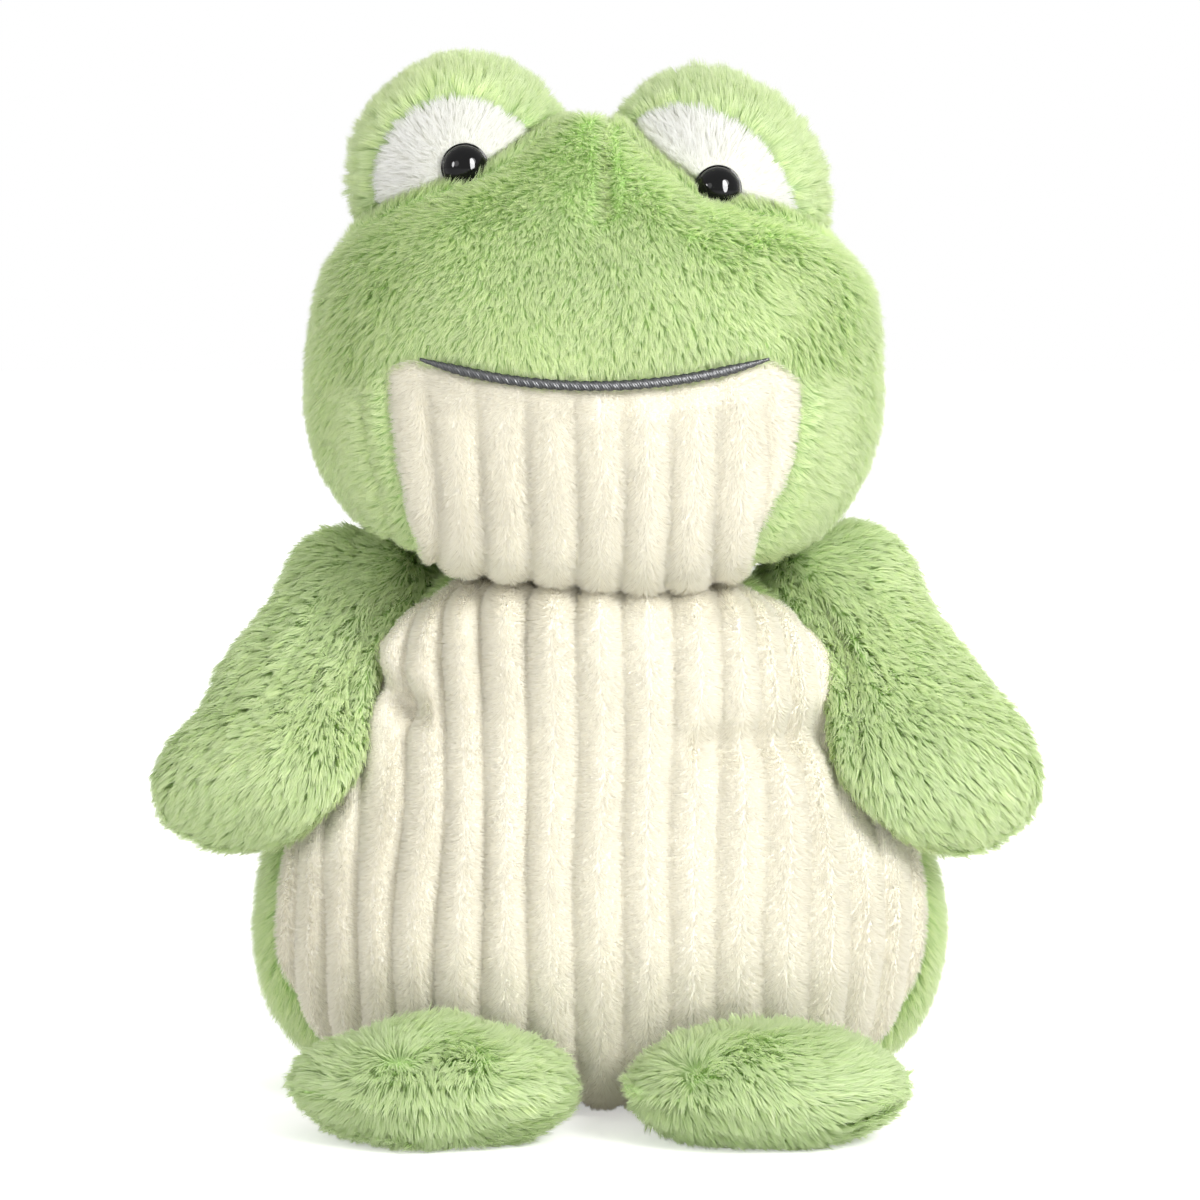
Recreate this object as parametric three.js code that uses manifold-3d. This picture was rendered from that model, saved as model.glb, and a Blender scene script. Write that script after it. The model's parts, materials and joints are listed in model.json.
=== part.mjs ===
// A sitting plush frog, in millimetres, with +Z up and its face towards -Y.
// Left and right are the toy's own: its left side is +X.
// The origin is the centre of the flat underside of the base panel.
import * as THREE from 'three';
import { mergeVertices } from 'three/addons/utils/BufferGeometryUtils.js';
import Module from 'manifold-3d';

const wasm = await Module();
wasm.setup();

// Clearances and fabric
const seamGap = 0.3; // between two pieces that are sewn or rest together
const roomSlack = 1; // what the plainer form of the body's room adds to a margin
const fillGap = 0.7; // between a cover and the stuffing inside it
const crestGap = 0.7; // between the head and the eye mounds, along the hollow where they meet
const runningGap = 0.9; // between two pieces that turn on each other
const plush = 6; // a cover: backing fabric and pile pressed together
const ribPitch = 12.6; // from one rib of the cream plush to the next
const ribDepth = 2.6; // from a rib's crest to the valley beside it
const ribReach = { belly: 88.2, chin: 56.7 }; // how far out the ribs go on the widest row
const ribbedShare = 0.95; // how far out on a row its ribs still stand
const roundEdge = 0.8; // how much of an inset a form's flat top and bottom rows still get in depth

// Body: rows from the base to the neck, each a height and its half width, front and back
const bodyRows = [
  { z: -3, half: 0, front: 0, back: 0 },
  { z: -2, half: 44, front: 34, back: 34 },
  { z: 1, half: 68, front: 52, back: 48 },
  { z: 9, half: 83, front: 63, back: 56 },
  { z: 22, half: 92, front: 70, back: 60 },
  { z: 42, half: 97, front: 74, back: 62 },
  { z: 67, half: 92, front: 71, back: 58 },
  { z: 92, half: 80, front: 64, back: 50 },
  { z: 114, half: 67, front: 53, back: 42 },
  { z: 127, half: 55, front: 44, back: 36 },
  { z: 135, half: 41, front: 33, back: 30 },
  { z: 139, half: 23, front: 19, back: 20 },
  { z: 140, half: 0, front: 0, back: 0 },
];
const bodySquareness = 2.3; // power of the superellipse that each row follows
const sideSeam = { y: -27, z: 50, slope: 0.2 }; // where cream meets green; it runs back towards the neck
const coverHem = 0.4; // the covers' lowest edge, just above the ground

// Base panel and the pellet bag that lies on it
const base = { halfWidth: 57, halfDepth: 41, thickness: 4 };
const pelletBag = { halfWidth: 46, halfDepth: 33, height: 24 };

// The height of the throat, from which everything on the head is measured
const throatZ = 148;

// Neck: a ball of stuffing that fills the opening sewn between head and body
const neck = { x: -3.5, y: 2, z: throatZ - 3, radius: 26 };

// Head: rows from the throat to the crest between the eyes.
// A row's up is its height over the throat, its rise is how it slopes up towards the back,
// and its aside is how far it stands off the middle: the brow leans towards the right eye.
const headRows = [
  { up: 0, half: 0, front: 0, back: 0, rise: 0.22 },
  { up: 1.5, half: 30, front: 34, back: 28, rise: 0.22 },
  { up: 5, half: 51, front: 50, back: 40, rise: 0.22 },
  { up: 13, half: 69, front: 60, back: 48, rise: 0.19 },
  { up: 25, half: 77.5, front: 65, back: 50, rise: 0.11 },
  { up: 38, half: 80.5, front: 66.5, back: 51, rise: 0.04 },
  { up: 52, half: 80, front: 67, back: 51, rise: 0 },
  { up: 66, half: 78, front: 65.5, back: 50, rise: 0 },
  { up: 76, half: 75, front: 61.5, back: 47, rise: -0.06 },
  { up: 84, half: 68, front: 56, back: 41, rise: -0.14 },
  { up: 89.5, half: 55, front: 50, back: 32, rise: -0.2, aside: -2 },
  { up: 96, half: 33, front: 43, back: 22, rise: -0.26, aside: -4 },
  { up: 102.5, half: 22, front: 37, back: 12, rise: -0.3, aside: -4.5 },
  { up: 109, half: 15.5, front: 31, back: 4, rise: -0.32, aside: -4 },
  { up: 115, half: 9.5, front: 25, back: -5, rise: -0.34, aside: -3 },
  { up: 117.5, half: 0, front: 16, back: -16, rise: -0.34, aside: -3 },
].map((row) => ({ ...row, z: throatZ + row.up }));
const headSquareness = 2.35;
const crownSeam = 8; // the seam over the crown, where the front cover meets the back ones
const headRoll = 2; // degrees that the head leans in the photo, the right side up

// Mouth and chin
const mouth = {
  halfWidth: 46,
  endZ: throatZ + 56,
  midZ: throatZ + 49.5,
  level: 0.035, // slope that the mouth keeps while the head leans
  beyond: 2, // how far the chin's top edge runs on past the mouth's ends
  pipe: 1.4,
  sides: 6,
  steps: 18,
};
const chin = {
  topHalf: 55,
  bottomHalf: 45,
  shoulderZ: throatZ + 52, // where the panel's side edges start
  waistZ: throatZ + 30, // where they begin to draw in
  jawZ: throatZ + 2, // where they are fully drawn in
  bottomZ: throatZ - 20,
  backY: -8,
};

// Eyes: a mound each side, its white panel, the moulded safety eye and its lock washer.
// A lean turns an oval about its middle in the front view; below 0 its top goes to the right.
const mounds = {
  left: { x: 32, z: throatZ + 102, halfWidth: 28.5, halfHeight: 33, lean: -45 },
  right: { x: -37.6, z: throatZ + 101.8, halfWidth: 31.5, halfHeight: 33, lean: 2 },
};
const moundMiddle = { y: 0, halfDepth: 26 };
const eyeWhites = {
  left: { x: mounds.left.x - 3.5, z: mounds.left.z - 4, halfWidth: 21.5, halfHeight: 28, lean: -45 },
  right: { x: mounds.right.x - 0.8, z: mounds.right.z - 1.3, halfWidth: 23.4, halfHeight: 22.6, lean: 0 },
};
const eyeWhiteBackY = -6;
const eyePlaces = {
  left: { x: mounds.left.x - 0.4, z: mounds.left.z - 1.2 },
  right: { x: mounds.right.x + 1, z: mounds.right.z + 2.5 },
};
const eye = { radius: 6, bulge: 4.8, flange: 6.4, rim: 0.8, shank: 2.2, shankLength: 13, sink: 1.2 };
const washer = { radius: 7.5, thickness: 1.4, behind: 1 }; // behind is the play in front of it

// Arms: a centre line from the shoulder to the hand, as steps from the shoulder
const shoulder = { x: 63, y: 8, z: 131.5, radius: 20 };
const armRows = [
  { out: 0, fore: 0, down: 0, half: 19, thick: 19 },
  { out: 12, fore: 17, down: 16, half: 21.5, thick: 17 },
  { out: 25, fore: 38, down: 35, half: 26, thick: 16 },
  { out: 31, fore: 45, down: 46, half: 28, thick: 15 },
  { out: 33, fore: 48, down: 53.5, half: 24, thick: 12 },
  { out: 34, fore: 49, down: 58.5, half: 15, thick: 8 },
  { out: 34.5, fore: 49.5, down: 61.5, half: 0, thick: 0 },
];
const armTurn = 26; // degrees that the arm's broad side is turned towards the belly
const armRoom = 1.5; // between the arm and the body's side that it lies against
const armSeam = { thickness: 1.2, from: 11, to: 15.5 }; // from and to are distances from the pivot

// Feet: flattened ovals in front of the body, each on a rolled heel that is sewn into it
const foot = { x: 44, y: -83, z: 14.5, halfWidth: 39.5, halfDepth: 28, halfHeight: 17.5, seamZ: 12, turn: 7 };
const heel = { x: foot.x, y: -64, z: 14, halfWidth: 29, radius: 12 };
const footRoom = 6; // space kept in front of the belly, in which the foot tips up

// Facets: how many make up a round form's girth and its length
const outerSides = 26;
const innerSides = 12;
const roomSides = 16;
const bodySteps = { outer: 12, inner: 8, room: 9 };
const headSteps = { outer: 15, inner: 9 };
const backColumns = 8; // on the smooth back of a ribbed row
const ballFacets = { round: 16, rows: 10 };
const heelFacets = { round: 12, rows: 8 };
const insideFacets = { round: 8, rows: 6 };
const moundFacets = { round: 16, rows: 9 };
const bagFacets = { round: 20, rows: 10 };
const footFacets = { outer: { round: 16, rows: 8 }, inner: { round: 10, rows: 6 } };
const limbFacets = { outer: { steps: 8, sides: 12 }, inner: { steps: 5, sides: 8 } };
const domeSteps = 4;
const eyeSides = 12;
const washerSides = 14;
const edgeFacets = { base: 20, chin: 6, eyeWhite: 9 };

const rowTension = 0.5; // of the curves that are drawn through a form's rows
const mergeWithin = 1e-4; // points nearer than this are one
const far = 400; // beyond every piece

const finishes = {
  green_plush: { color: '#a4c178', roughness: 0.95, metalness: 0 },
  cream_plush: { color: '#f1eddc', roughness: 0.95, metalness: 0 },
  white_plush: { color: '#f6f6f1', roughness: 0.95, metalness: 0 },
  mouth_satin: { color: '#4d4f52', roughness: 0.5, metalness: 0 },
  eye_plastic: { color: '#0b0b0c', roughness: 0.08, metalness: 0 },
  washer_plastic: { color: '#e9e8e2', roughness: 0.5, metalness: 0 },
  fibre_fill: { color: '#f4f3ee', roughness: 1, metalness: 0 },
  pellet_cloth: { color: '#d9d5c8', roughness: 0.9, metalness: 0 },
};

// Turns the faces round where a geometry is inside out, as a mirrored one is.
function facingOut(geometry) {
  const p = geometry.attributes.position;
  const order = geometry.index.array;
  const [a, b, c] = [new THREE.Vector3(), new THREE.Vector3(), new THREE.Vector3()];
  let volume = 0;
  for (let i = 0; i < order.length; i += 3) {
    a.fromBufferAttribute(p, order[i]);
    b.fromBufferAttribute(p, order[i + 1]);
    c.fromBufferAttribute(p, order[i + 2]);
    volume += a.dot(b.cross(c));
  }
  if (volume < 0) {
    for (let i = 0; i < order.length; i += 3) {
      [order[i + 1], order[i + 2]] = [order[i + 2], order[i + 1]];
    }
  }
  return geometry;
}

// A closed skin over rings of points, with a fan to a pole at each end.
function skin(rings, firstPole, lastPole) {
  const sides = rings[0].length;
  const points = [...rings.flat(), firstPole, lastPole];
  const first = points.length - 2;
  const last = points.length - 1;
  const index = [];
  for (let side = 0; side < sides; side += 1) {
    const next = (side + 1) % sides;
    for (let row = 0; row < rings.length - 1; row += 1) {
      const low = row * sides;
      const high = low + sides;
      index.push(low + side, low + next, high + next, low + side, high + next, high + side);
    }
    const top = (rings.length - 1) * sides;
    index.push(first, next, side, last, top + side, top + next);
  }
  const geometry = new THREE.BufferGeometry().setFromPoints(points);
  geometry.setIndex(index);
  return facingOut(geometry);
}

// The same skin with its shared points merged, which leaves only its positions.
function welded(geometry) {
  const bare = geometry.clone();
  bare.deleteAttribute('normal');
  bare.deleteAttribute('uv');
  return facingOut(mergeVertices(bare, mergeWithin));
}

function toSolid(geometry) {
  const merged = welded(geometry);
  return new wasm.Manifold(new wasm.Mesh({
    numProp: 3,
    vertProperties: new Float32Array(merged.attributes.position.array),
    triVerts: new Uint32Array(merged.index.array),
  }));
}

function toGeometry(solid) {
  const mesh = solid.getMesh();
  const geometry = new THREE.BufferGeometry();
  geometry.setAttribute('position', new THREE.BufferAttribute(mesh.vertProperties, 3));
  geometry.setIndex(new THREE.BufferAttribute(mesh.triVerts, 1));
  geometry.computeVertexNormals();
  return geometry;
}

// The same skin, moved outwards by a distance, or inwards where the distance is negative.
function grown(geometry, distance) {
  const moved = welded(geometry);
  moved.computeVertexNormals();
  const position = moved.attributes.position;
  const normal = moved.attributes.normal;
  for (let i = 0; i < position.count; i += 1) {
    position.setXYZ(
      i,
      position.getX(i) + normal.getX(i) * distance,
      position.getY(i) + normal.getY(i) * distance,
      position.getZ(i) + normal.getZ(i) * distance,
    );
  }
  moved.deleteAttribute('normal');
  return moved;
}

// Smooth curves through a form's rows: [height, half width, rise] and [front, back, aside].
function rowCurves(rows) {
  const widths = rows.map((row) => new THREE.Vector3(row.z, row.half, row.rise ?? 0));
  const depths = rows.map((row) => new THREE.Vector3(row.front, row.back, row.aside ?? 0));
  return {
    width: new THREE.CatmullRomCurve3(widths, false, 'catmullrom', rowTension),
    depth: new THREE.CatmullRomCurve3(depths, false, 'catmullrom', rowTension),
  };
}

const power = (value, exponent) => Math.sign(value) * Math.abs(value) ** exponent;

// One row of a form as evenly turned points.
function plainRing(row, squareness, sides) {
  const ring = [];
  for (let side = 0; side < sides; side += 1) {
    const angle = (side / sides) * Math.PI * 2;
    const along = power(Math.sin(angle), 2 / squareness);
    const x = row.half * power(Math.cos(angle), 2 / squareness);
    const y = along * (along > 0 ? row.back : row.front);
    ring.push(new THREE.Vector3(row.aside + x, y, row.z + row.rise * y));
  }
  return ring;
}

// One row of a form whose front has upright ribs: a point on each crest and in each valley,
// with those that the row is too narrow for drawn together at its sides.
function ribbedRing(row, squareness, reach) {
  const ring = [];
  const spacing = ribPitch / 2;
  const each = Math.round(reach / spacing);
  const usable = row.half * ribbedShare;
  const fitting = Math.min(each, Math.floor(usable / spacing));
  for (let column = -each; column <= each; column += 1) {
    const number = Math.abs(column);
    const beyond = (number - fitting) / (each - fitting + 1);
    const inRibs = number <= fitting;
    const x = inRibs ? number * spacing : fitting * spacing + (row.half - fitting * spacing) * beyond;
    const swell = (1 - (x / row.half) ** squareness) ** (1 / squareness);
    const valley = inRibs && number % 2 === 1 ? ribDepth * Math.min(1, row.half / (2 * ribPitch)) : 0;
    const y = -row.front * swell + valley;
    ring.push(new THREE.Vector3(row.aside + Math.sign(column) * x, y, row.z + row.rise * y));
  }
  for (let column = 0; column <= backColumns; column += 1) {
    const angle = (column / backColumns) * Math.PI;
    const x = row.half * power(Math.cos(angle), 2 / squareness);
    const y = row.back * power(Math.sin(angle), 2 / squareness);
    ring.push(new THREE.Vector3(row.aside + x, y, row.z + row.rise * y));
  }
  return ring;
}

// A stuffed form that swells and tapers through its rows, with a pole at each end.
function stuffedForm(rows, steps, makeRing) {
  const curves = rowCurves(rows);
  const rings = [];
  for (let step = 1; step < steps; step += 1) {
    const width = curves.width.getPoint(step / steps);
    const depth = curves.depth.getPoint(step / steps);
    const { x: z, y: half, z: rise } = width;
    const { x: front, y: back, z: aside } = depth;
    rings.push(makeRing({ z, half, rise, front, back, aside }));
  }
  const pole = (row) => {
    const y = (row.back - row.front) / 2;
    return new THREE.Vector3(row.aside ?? 0, y, row.z + (row.rise ?? 0) * y);
  };
  return skin(rings, pole(rows[0]), pole(rows[rows.length - 1]));
}

// A form's rows moved inwards by a depth, square to its side outline, without the rows that this closes.
function insetRows(rows, depth) {
  const inner = [];
  for (let i = 1; i < rows.length - 1; i += 1) {
    const row = rows[i];
    const up = rows[i + 1].z - rows[i - 1].z;
    const out = rows[i + 1].half - rows[i - 1].half;
    const reach = Math.hypot(up, out);
    const inwards = (depth * up) / reach;
    const moved = {
      ...row,
      z: row.z + (depth * out) / reach,
      half: row.half - inwards,
      front: row.front - Math.max(inwards, depth * roundEdge),
      back: row.back - Math.max(inwards, depth * roundEdge),
    };
    const previous = inner[inner.length - 1];
    const wide = moved.half > depth && moved.front + moved.back > 2 * depth;
    if (wide && (!previous || moved.z > previous.z + 1)) inner.push(moved);
  }
  const pole = (row, rise) => {
    const y = (row.back - row.front) / 2;
    return { ...row, z: row.z + rise, half: 0, front: -y, back: y };
  };
  const [low, high] = [inner[0], inner[inner.length - 1]];
  return [pole(low, -1), ...inner, pole(high, 1)];
}

// The front surface of a form at one place across and one height, or null beside the form.
function frontOf(rows, squareness, x, z) {
  const curves = rowCurves(rows);
  const halvings = 30;
  let low = 0;
  let high = 1;
  for (let turn = 0; turn < halvings; turn += 1) {
    const middle = (low + high) / 2;
    if (curves.width.getPoint(middle).x < z) low = middle;
    else high = middle;
  }
  const half = curves.width.getPoint(low).y;
  const front = curves.depth.getPoint(low).x;
  const share = Math.abs(x) / half;
  if (share >= 1) return null;
  return -front * (1 - share ** squareness) ** (1 / squareness);
}

// A block between two places along each axis.
function block(xFrom, xTo, yFrom, yTo, zFrom, zTo) {
  const box = new THREE.BoxGeometry(xTo - xFrom, yTo - yFrom, zTo - zFrom);
  box.translate((xFrom + xTo) / 2, (yFrom + yTo) / 2, (zFrom + zTo) / 2);
  return toSolid(box);
}

function ball(x, y, z, radius, facets = ballFacets) {
  const sphere = new THREE.SphereGeometry(radius, facets.round, facets.rows);
  sphere.rotateX(Math.PI / 2);
  sphere.translate(x, y, z);
  return toSolid(sphere);
}

function ellipsoid(x, y, z, halfWidth, halfDepth, halfHeight, facets, turn = 0, lean = 0) {
  const sphere = new THREE.SphereGeometry(1, facets.round, facets.rows);
  sphere.rotateX(Math.PI / 2);
  sphere.scale(halfWidth, halfDepth, halfHeight);
  sphere.rotateY(THREE.MathUtils.degToRad(lean));
  sphere.rotateZ(THREE.MathUtils.degToRad(turn));
  sphere.translate(x, y, z);
  return sphere;
}

// An outline in the front view, carried through from one depth to another.
function frontOutline(shape, yFrom, yTo, curveSegments) {
  const geometry = new THREE.ExtrudeGeometry(shape, {
    depth: yTo - yFrom,
    bevelEnabled: false,
    curveSegments,
  });
  geometry.rotateX(Math.PI / 2);
  geometry.translate(0, yTo, 0);
  return toSolid(geometry);
}

const subtractAll = (solid, cutters) => cutters.reduce((left, cutter) => left.subtract(cutter), solid);

// The largest of the bodies that a cut leaves, without the offcuts at a socket's edge.
function mainBody(solid) {
  return solid.decompose().reduce((best, body) => (body.volume() > best.volume() ? body : best));
}

function addMesh(group, name, solid, finish) {
  const material = new THREE.MeshStandardMaterial(finishes[finish]);
  const mesh = new THREE.Mesh(toGeometry(mainBody(solid)), material);
  mesh.name = name;
  group.add(mesh);
  return mesh;
}

const sideNames = { left: 1, right: -1 };

// The ball end of an arm and everything that is concentric with it.
const shoulderBall = (sign, radius, facets) => (
  ball(sign * shoulder.x, shoulder.y, shoulder.z, radius, facets)
);
const seamInner = shoulder.radius + runningGap;
const seamOuter = seamInner + armSeam.thickness;
const shoulderSocket = seamOuter + runningGap;

// The rolled heel, round about the line that the foot tips on.
function heelRoll(sign, clearance) {
  const facets = clearance < 0 ? insideFacets : heelFacets;
  const roll = new THREE.SphereGeometry(1, facets.round, facets.rows);
  roll.rotateZ(Math.PI / 2);
  roll.scale(heel.halfWidth + clearance, heel.radius + clearance, heel.radius + clearance);
  roll.translate(sign * heel.x, heel.y, heel.z);
  return toSolid(roll);
}

const bodyForm = (rows, sides, steps) => (
  stuffedForm(rows, steps, (row) => plainRing(row, bodySquareness, sides))
);
const bodyOuter = toSolid(bodyForm(bodyRows, outerSides, bodySteps.outer));
const bodyRibbed = toSolid(stuffedForm(
  bodyRows, bodySteps.outer, (row) => ribbedRing(row, bodySquareness, ribReach.belly),
));
const bodyInner = toSolid(bodyForm(insetRows(bodyRows, plush), innerSides, bodySteps.inner));
const bodyCore = toSolid(bodyForm(insetRows(bodyRows, plush + fillGap), innerSides, bodySteps.inner));
// The body's own space and a margin round it, which its limbs keep out of.
const bodyRoom = (margin) => (
  toSolid(grown(bodyForm(bodyRows, roomSides, bodySteps.room), margin + roomSlack))
);
const bodySockets = [
  ball(neck.x, neck.y, neck.z, neck.radius + runningGap),
  shoulderBall(1, shoulderSocket),
  shoulderBall(-1, shoulderSocket),
  heelRoll(1, runningGap),
  heelRoll(-1, runningGap),
];

function baseDisc(halfWidth, halfDepth, zFrom, zTo) {
  const outline = new THREE.Shape();
  outline.absellipse(0, 0, halfWidth, halfDepth, 0, Math.PI * 2);
  const disc = new THREE.ExtrudeGeometry(outline, {
    depth: zTo - zFrom,
    bevelEnabled: false,
    curveSegments: edgeFacets.base,
  });
  disc.translate(0, 0, zFrom);
  return toSolid(disc);
}

function bodyCover(outside) {
  const shell = outside
    .subtract(bodyInner)
    .intersect(block(-far, far, -far, far, coverHem, far))
    .subtract(baseDisc(base.halfWidth + seamGap, base.halfDepth + seamGap, -plush, base.thickness + plush));
  return subtractAll(shell, bodySockets);
}

// The space in front of the leaning side seam, or behind it.
function sideOfSeam(towards) {
  const box = new THREE.BoxGeometry(far, far, far);
  box.translate(0, towards * (far / 2 + seamGap / 2), 0);
  box.rotateX(-Math.atan(sideSeam.slope));
  box.translate(0, sideSeam.y, sideSeam.z);
  return toSolid(box);
}

// The two sides of the centre back seam.
const leftSide = block(seamGap / 2, far, -far, far, -far, far);
const rightSide = block(-far, -seamGap / 2, -far, far, -far, far);

// The pellet bag's swollen form, before its flat underside, with a clearance round it.
const bagForm = (clearance) => toSolid(ellipsoid(
  0, 0, base.thickness + seamGap,
  pelletBag.halfWidth + clearance, pelletBag.halfDepth + clearance, pelletBag.height + clearance,
  bagFacets,
));

function makeTorso(group) {
  const back = bodyCover(bodyOuter).intersect(sideOfSeam(1));
  addMesh(group, 'belly_panel', bodyCover(bodyRibbed).intersect(sideOfSeam(-1)), 'cream_plush');
  addMesh(group, 'body_back_left', back.intersect(leftSide), 'green_plush');
  addMesh(group, 'body_back_right', back.intersect(rightSide), 'green_plush');
  addMesh(group, 'base_panel', baseDisc(base.halfWidth, base.halfDepth, 0, base.thickness), 'green_plush');

  const floor = base.thickness + seamGap;
  const bag = bagForm(0).intersect(block(-far, far, -far, far, floor, far));
  addMesh(group, 'pellet_bag', bag, 'pellet_cloth');
  const pocket = bagForm(seamGap);
  const stuffing = bodyCore.intersect(block(-far, far, -far, far, floor, far)).subtract(pocket);
  addMesh(group, 'body_stuffing', subtractAll(stuffing, bodySockets), 'fibre_fill');
}

function makeNeck(group) {
  addMesh(group, 'neck_stuffing', ball(neck.x, neck.y, neck.z, neck.radius), 'fibre_fill');
}

const headForm = (rows, sides, steps) => (
  stuffedForm(rows, steps, (row) => plainRing(row, headSquareness, sides))
);
const headSkin = headForm(headRows, outerSides, headSteps.outer);
const headOuter = toSolid(headSkin);
const headRibbed = toSolid(stuffedForm(
  headRows, headSteps.outer, (row) => ribbedRing(row, headSquareness, ribReach.chin),
));
const headClear = toSolid(grown(headSkin, crestGap)).add(headOuter);
const headInner = toSolid(headForm(insetRows(headRows, plush), innerSides, headSteps.inner));
const headCore = toSolid(headForm(insetRows(headRows, plush + fillGap), innerSides, headSteps.inner));
const neckSocket = ball(0, neck.y, neck.z, neck.radius + runningGap);

// The mouth's line on the face, from one end to the other.
function mouthPoints(halfWidth) {
  const points = [];
  for (let step = 0; step <= mouth.steps; step += 1) {
    const x = (step / mouth.steps - 0.5) * 2 * halfWidth;
    const z = mouth.midZ + (mouth.endZ - mouth.midZ) * (x / mouth.halfWidth) ** 2 + mouth.level * x;
    points.push(new THREE.Vector3(x, frontOf(headRows, headSquareness, x, z), z));
  }
  return points;
}

function mouthTube(radius, halfWidth) {
  const section = new THREE.Shape();
  section.absarc(0, 0, radius, 0, Math.PI * 2);
  return toSolid(new THREE.ExtrudeGeometry(section, {
    steps: mouth.steps,
    curveSegments: mouth.sides / 2,
    bevelEnabled: false,
    extrudePath: new THREE.CatmullRomCurve3(mouthPoints(halfWidth)),
  }));
}

// The chin panel's edge in the front view: the mouth's curve above, and drawn-in sides below it.
function chinShape(gap) {
  const shape = new THREE.Shape();
  shape.moveTo(-chin.bottomHalf - gap, chin.bottomZ);
  shape.lineTo(chin.bottomHalf + gap, chin.bottomZ);
  shape.lineTo(chin.bottomHalf + gap, chin.jawZ);
  shape.quadraticCurveTo(chin.topHalf + gap, chin.waistZ, chin.topHalf + gap, chin.shoulderZ);
  const end = mouth.halfWidth + mouth.beyond;
  const level = mouth.level * end;
  shape.lineTo(end, mouth.endZ + level + gap);
  shape.quadraticCurveTo(0, mouth.midZ * 2 - mouth.endZ + gap, -end, mouth.endZ - level + gap);
  shape.lineTo(-chin.topHalf - gap, chin.shoulderZ);
  shape.quadraticCurveTo(-chin.topHalf - gap, chin.waistZ, -chin.bottomHalf - gap, chin.jawZ);
  shape.closePath();
  return shape;
}

function makeHead(group) {
  const eyeRooms = Object.keys(sideNames).flatMap((side) => eyeRoom(side));
  const mouthRoom = mouthTube(mouth.pipe + seamGap, mouth.halfWidth + mouth.beyond / 2);
  const cover = (outside) => (
    subtractAll(outside.subtract(headInner), [neckSocket, mouthRoom, ...eyeRooms])
  );
  const chinSpace = frontOutline(chinShape(0), -far, chin.backY, edgeFacets.chin);
  const chinRoom = frontOutline(chinShape(seamGap), -far, chin.backY + seamGap, edgeFacets.chin);
  addMesh(group, 'chin_panel', cover(headRibbed).intersect(chinSpace), 'cream_plush');
  addMesh(group, 'mouth_piping', mouthTube(mouth.pipe, mouth.halfWidth), 'mouth_satin');

  const green = cover(headOuter).subtract(chinRoom);
  const front = green.intersect(block(-far, far, -far, crownSeam - seamGap / 2, -far, far));
  const back = green.intersect(block(-far, far, crownSeam + seamGap / 2, far, -far, far));
  addMesh(group, 'head_front', front, 'green_plush');
  addMesh(group, 'head_back_left', back.intersect(leftSide), 'green_plush');
  addMesh(group, 'head_back_right', back.intersect(rightSide), 'green_plush');
  addMesh(group, 'head_stuffing', subtractAll(headCore.subtract(neckSocket), eyeRooms), 'fibre_fill');
}

// A safety eye, round about its shank, which points back into the mound.
function eyeSolid(place, y, clearance) {
  const profile = [new THREE.Vector2(0, eye.bulge + clearance)];
  for (let step = 1; step <= domeSteps; step += 1) {
    const angle = (step / domeSteps) * Math.PI / 2;
    profile.push(new THREE.Vector2(
      (eye.radius + clearance) * Math.sin(angle),
      (eye.bulge + clearance) * Math.cos(angle),
    ));
  }
  profile.push(new THREE.Vector2(eye.flange + clearance, 0));
  profile.push(new THREE.Vector2(eye.flange + clearance, -eye.rim - clearance));
  profile.push(new THREE.Vector2(eye.shank + clearance, -eye.rim - clearance));
  profile.push(new THREE.Vector2(eye.shank + clearance, -eye.shankLength - clearance));
  profile.push(new THREE.Vector2(0, -eye.shankLength - clearance));
  const lathe = new THREE.LatheGeometry(profile.reverse(), eyeSides);
  lathe.scale(1, -1, 1);
  lathe.translate(place.x, y, place.z);
  return toSolid(lathe);
}

function washerSolid(place, y, clearance) {
  const disc = new THREE.CylinderGeometry(
    washer.radius + clearance,
    washer.radius + clearance,
    washer.thickness + 2 * clearance,
    washerSides,
  );
  disc.translate(place.x, y, place.z);
  return toSolid(disc);
}

// How far forward a mound's skin, inset by a depth, lies at the eye's place.
function moundFront(side, inset) {
  const mound = mounds[side];
  const lean = THREE.MathUtils.degToRad(mound.lean);
  const aside = eyePlaces[side].x - mound.x;
  const over = eyePlaces[side].z - mound.z;
  const across = (aside * Math.cos(lean) - over * Math.sin(lean)) / (mound.halfWidth - inset);
  const up = (aside * Math.sin(lean) + over * Math.cos(lean)) / (mound.halfHeight - inset);
  return moundMiddle.y - (moundMiddle.halfDepth - inset) * Math.sqrt(1 - across ** 2 - up ** 2);
}

// The depths at which an eye's flange and its washer lie.
function eyeDepths(side) {
  return {
    eyeY: moundFront(side, eye.sink),
    washerY: moundFront(side, plush) + seamGap + washer.thickness / 2 + washer.behind,
  };
}

// The room that an eye and its washer take out of what they pass through.
function eyeRoom(side) {
  const place = eyePlaces[side];
  const { eyeY, washerY } = eyeDepths(side);
  return [eyeSolid(place, eyeY, seamGap), washerSolid(place, washerY, seamGap)];
}

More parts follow.
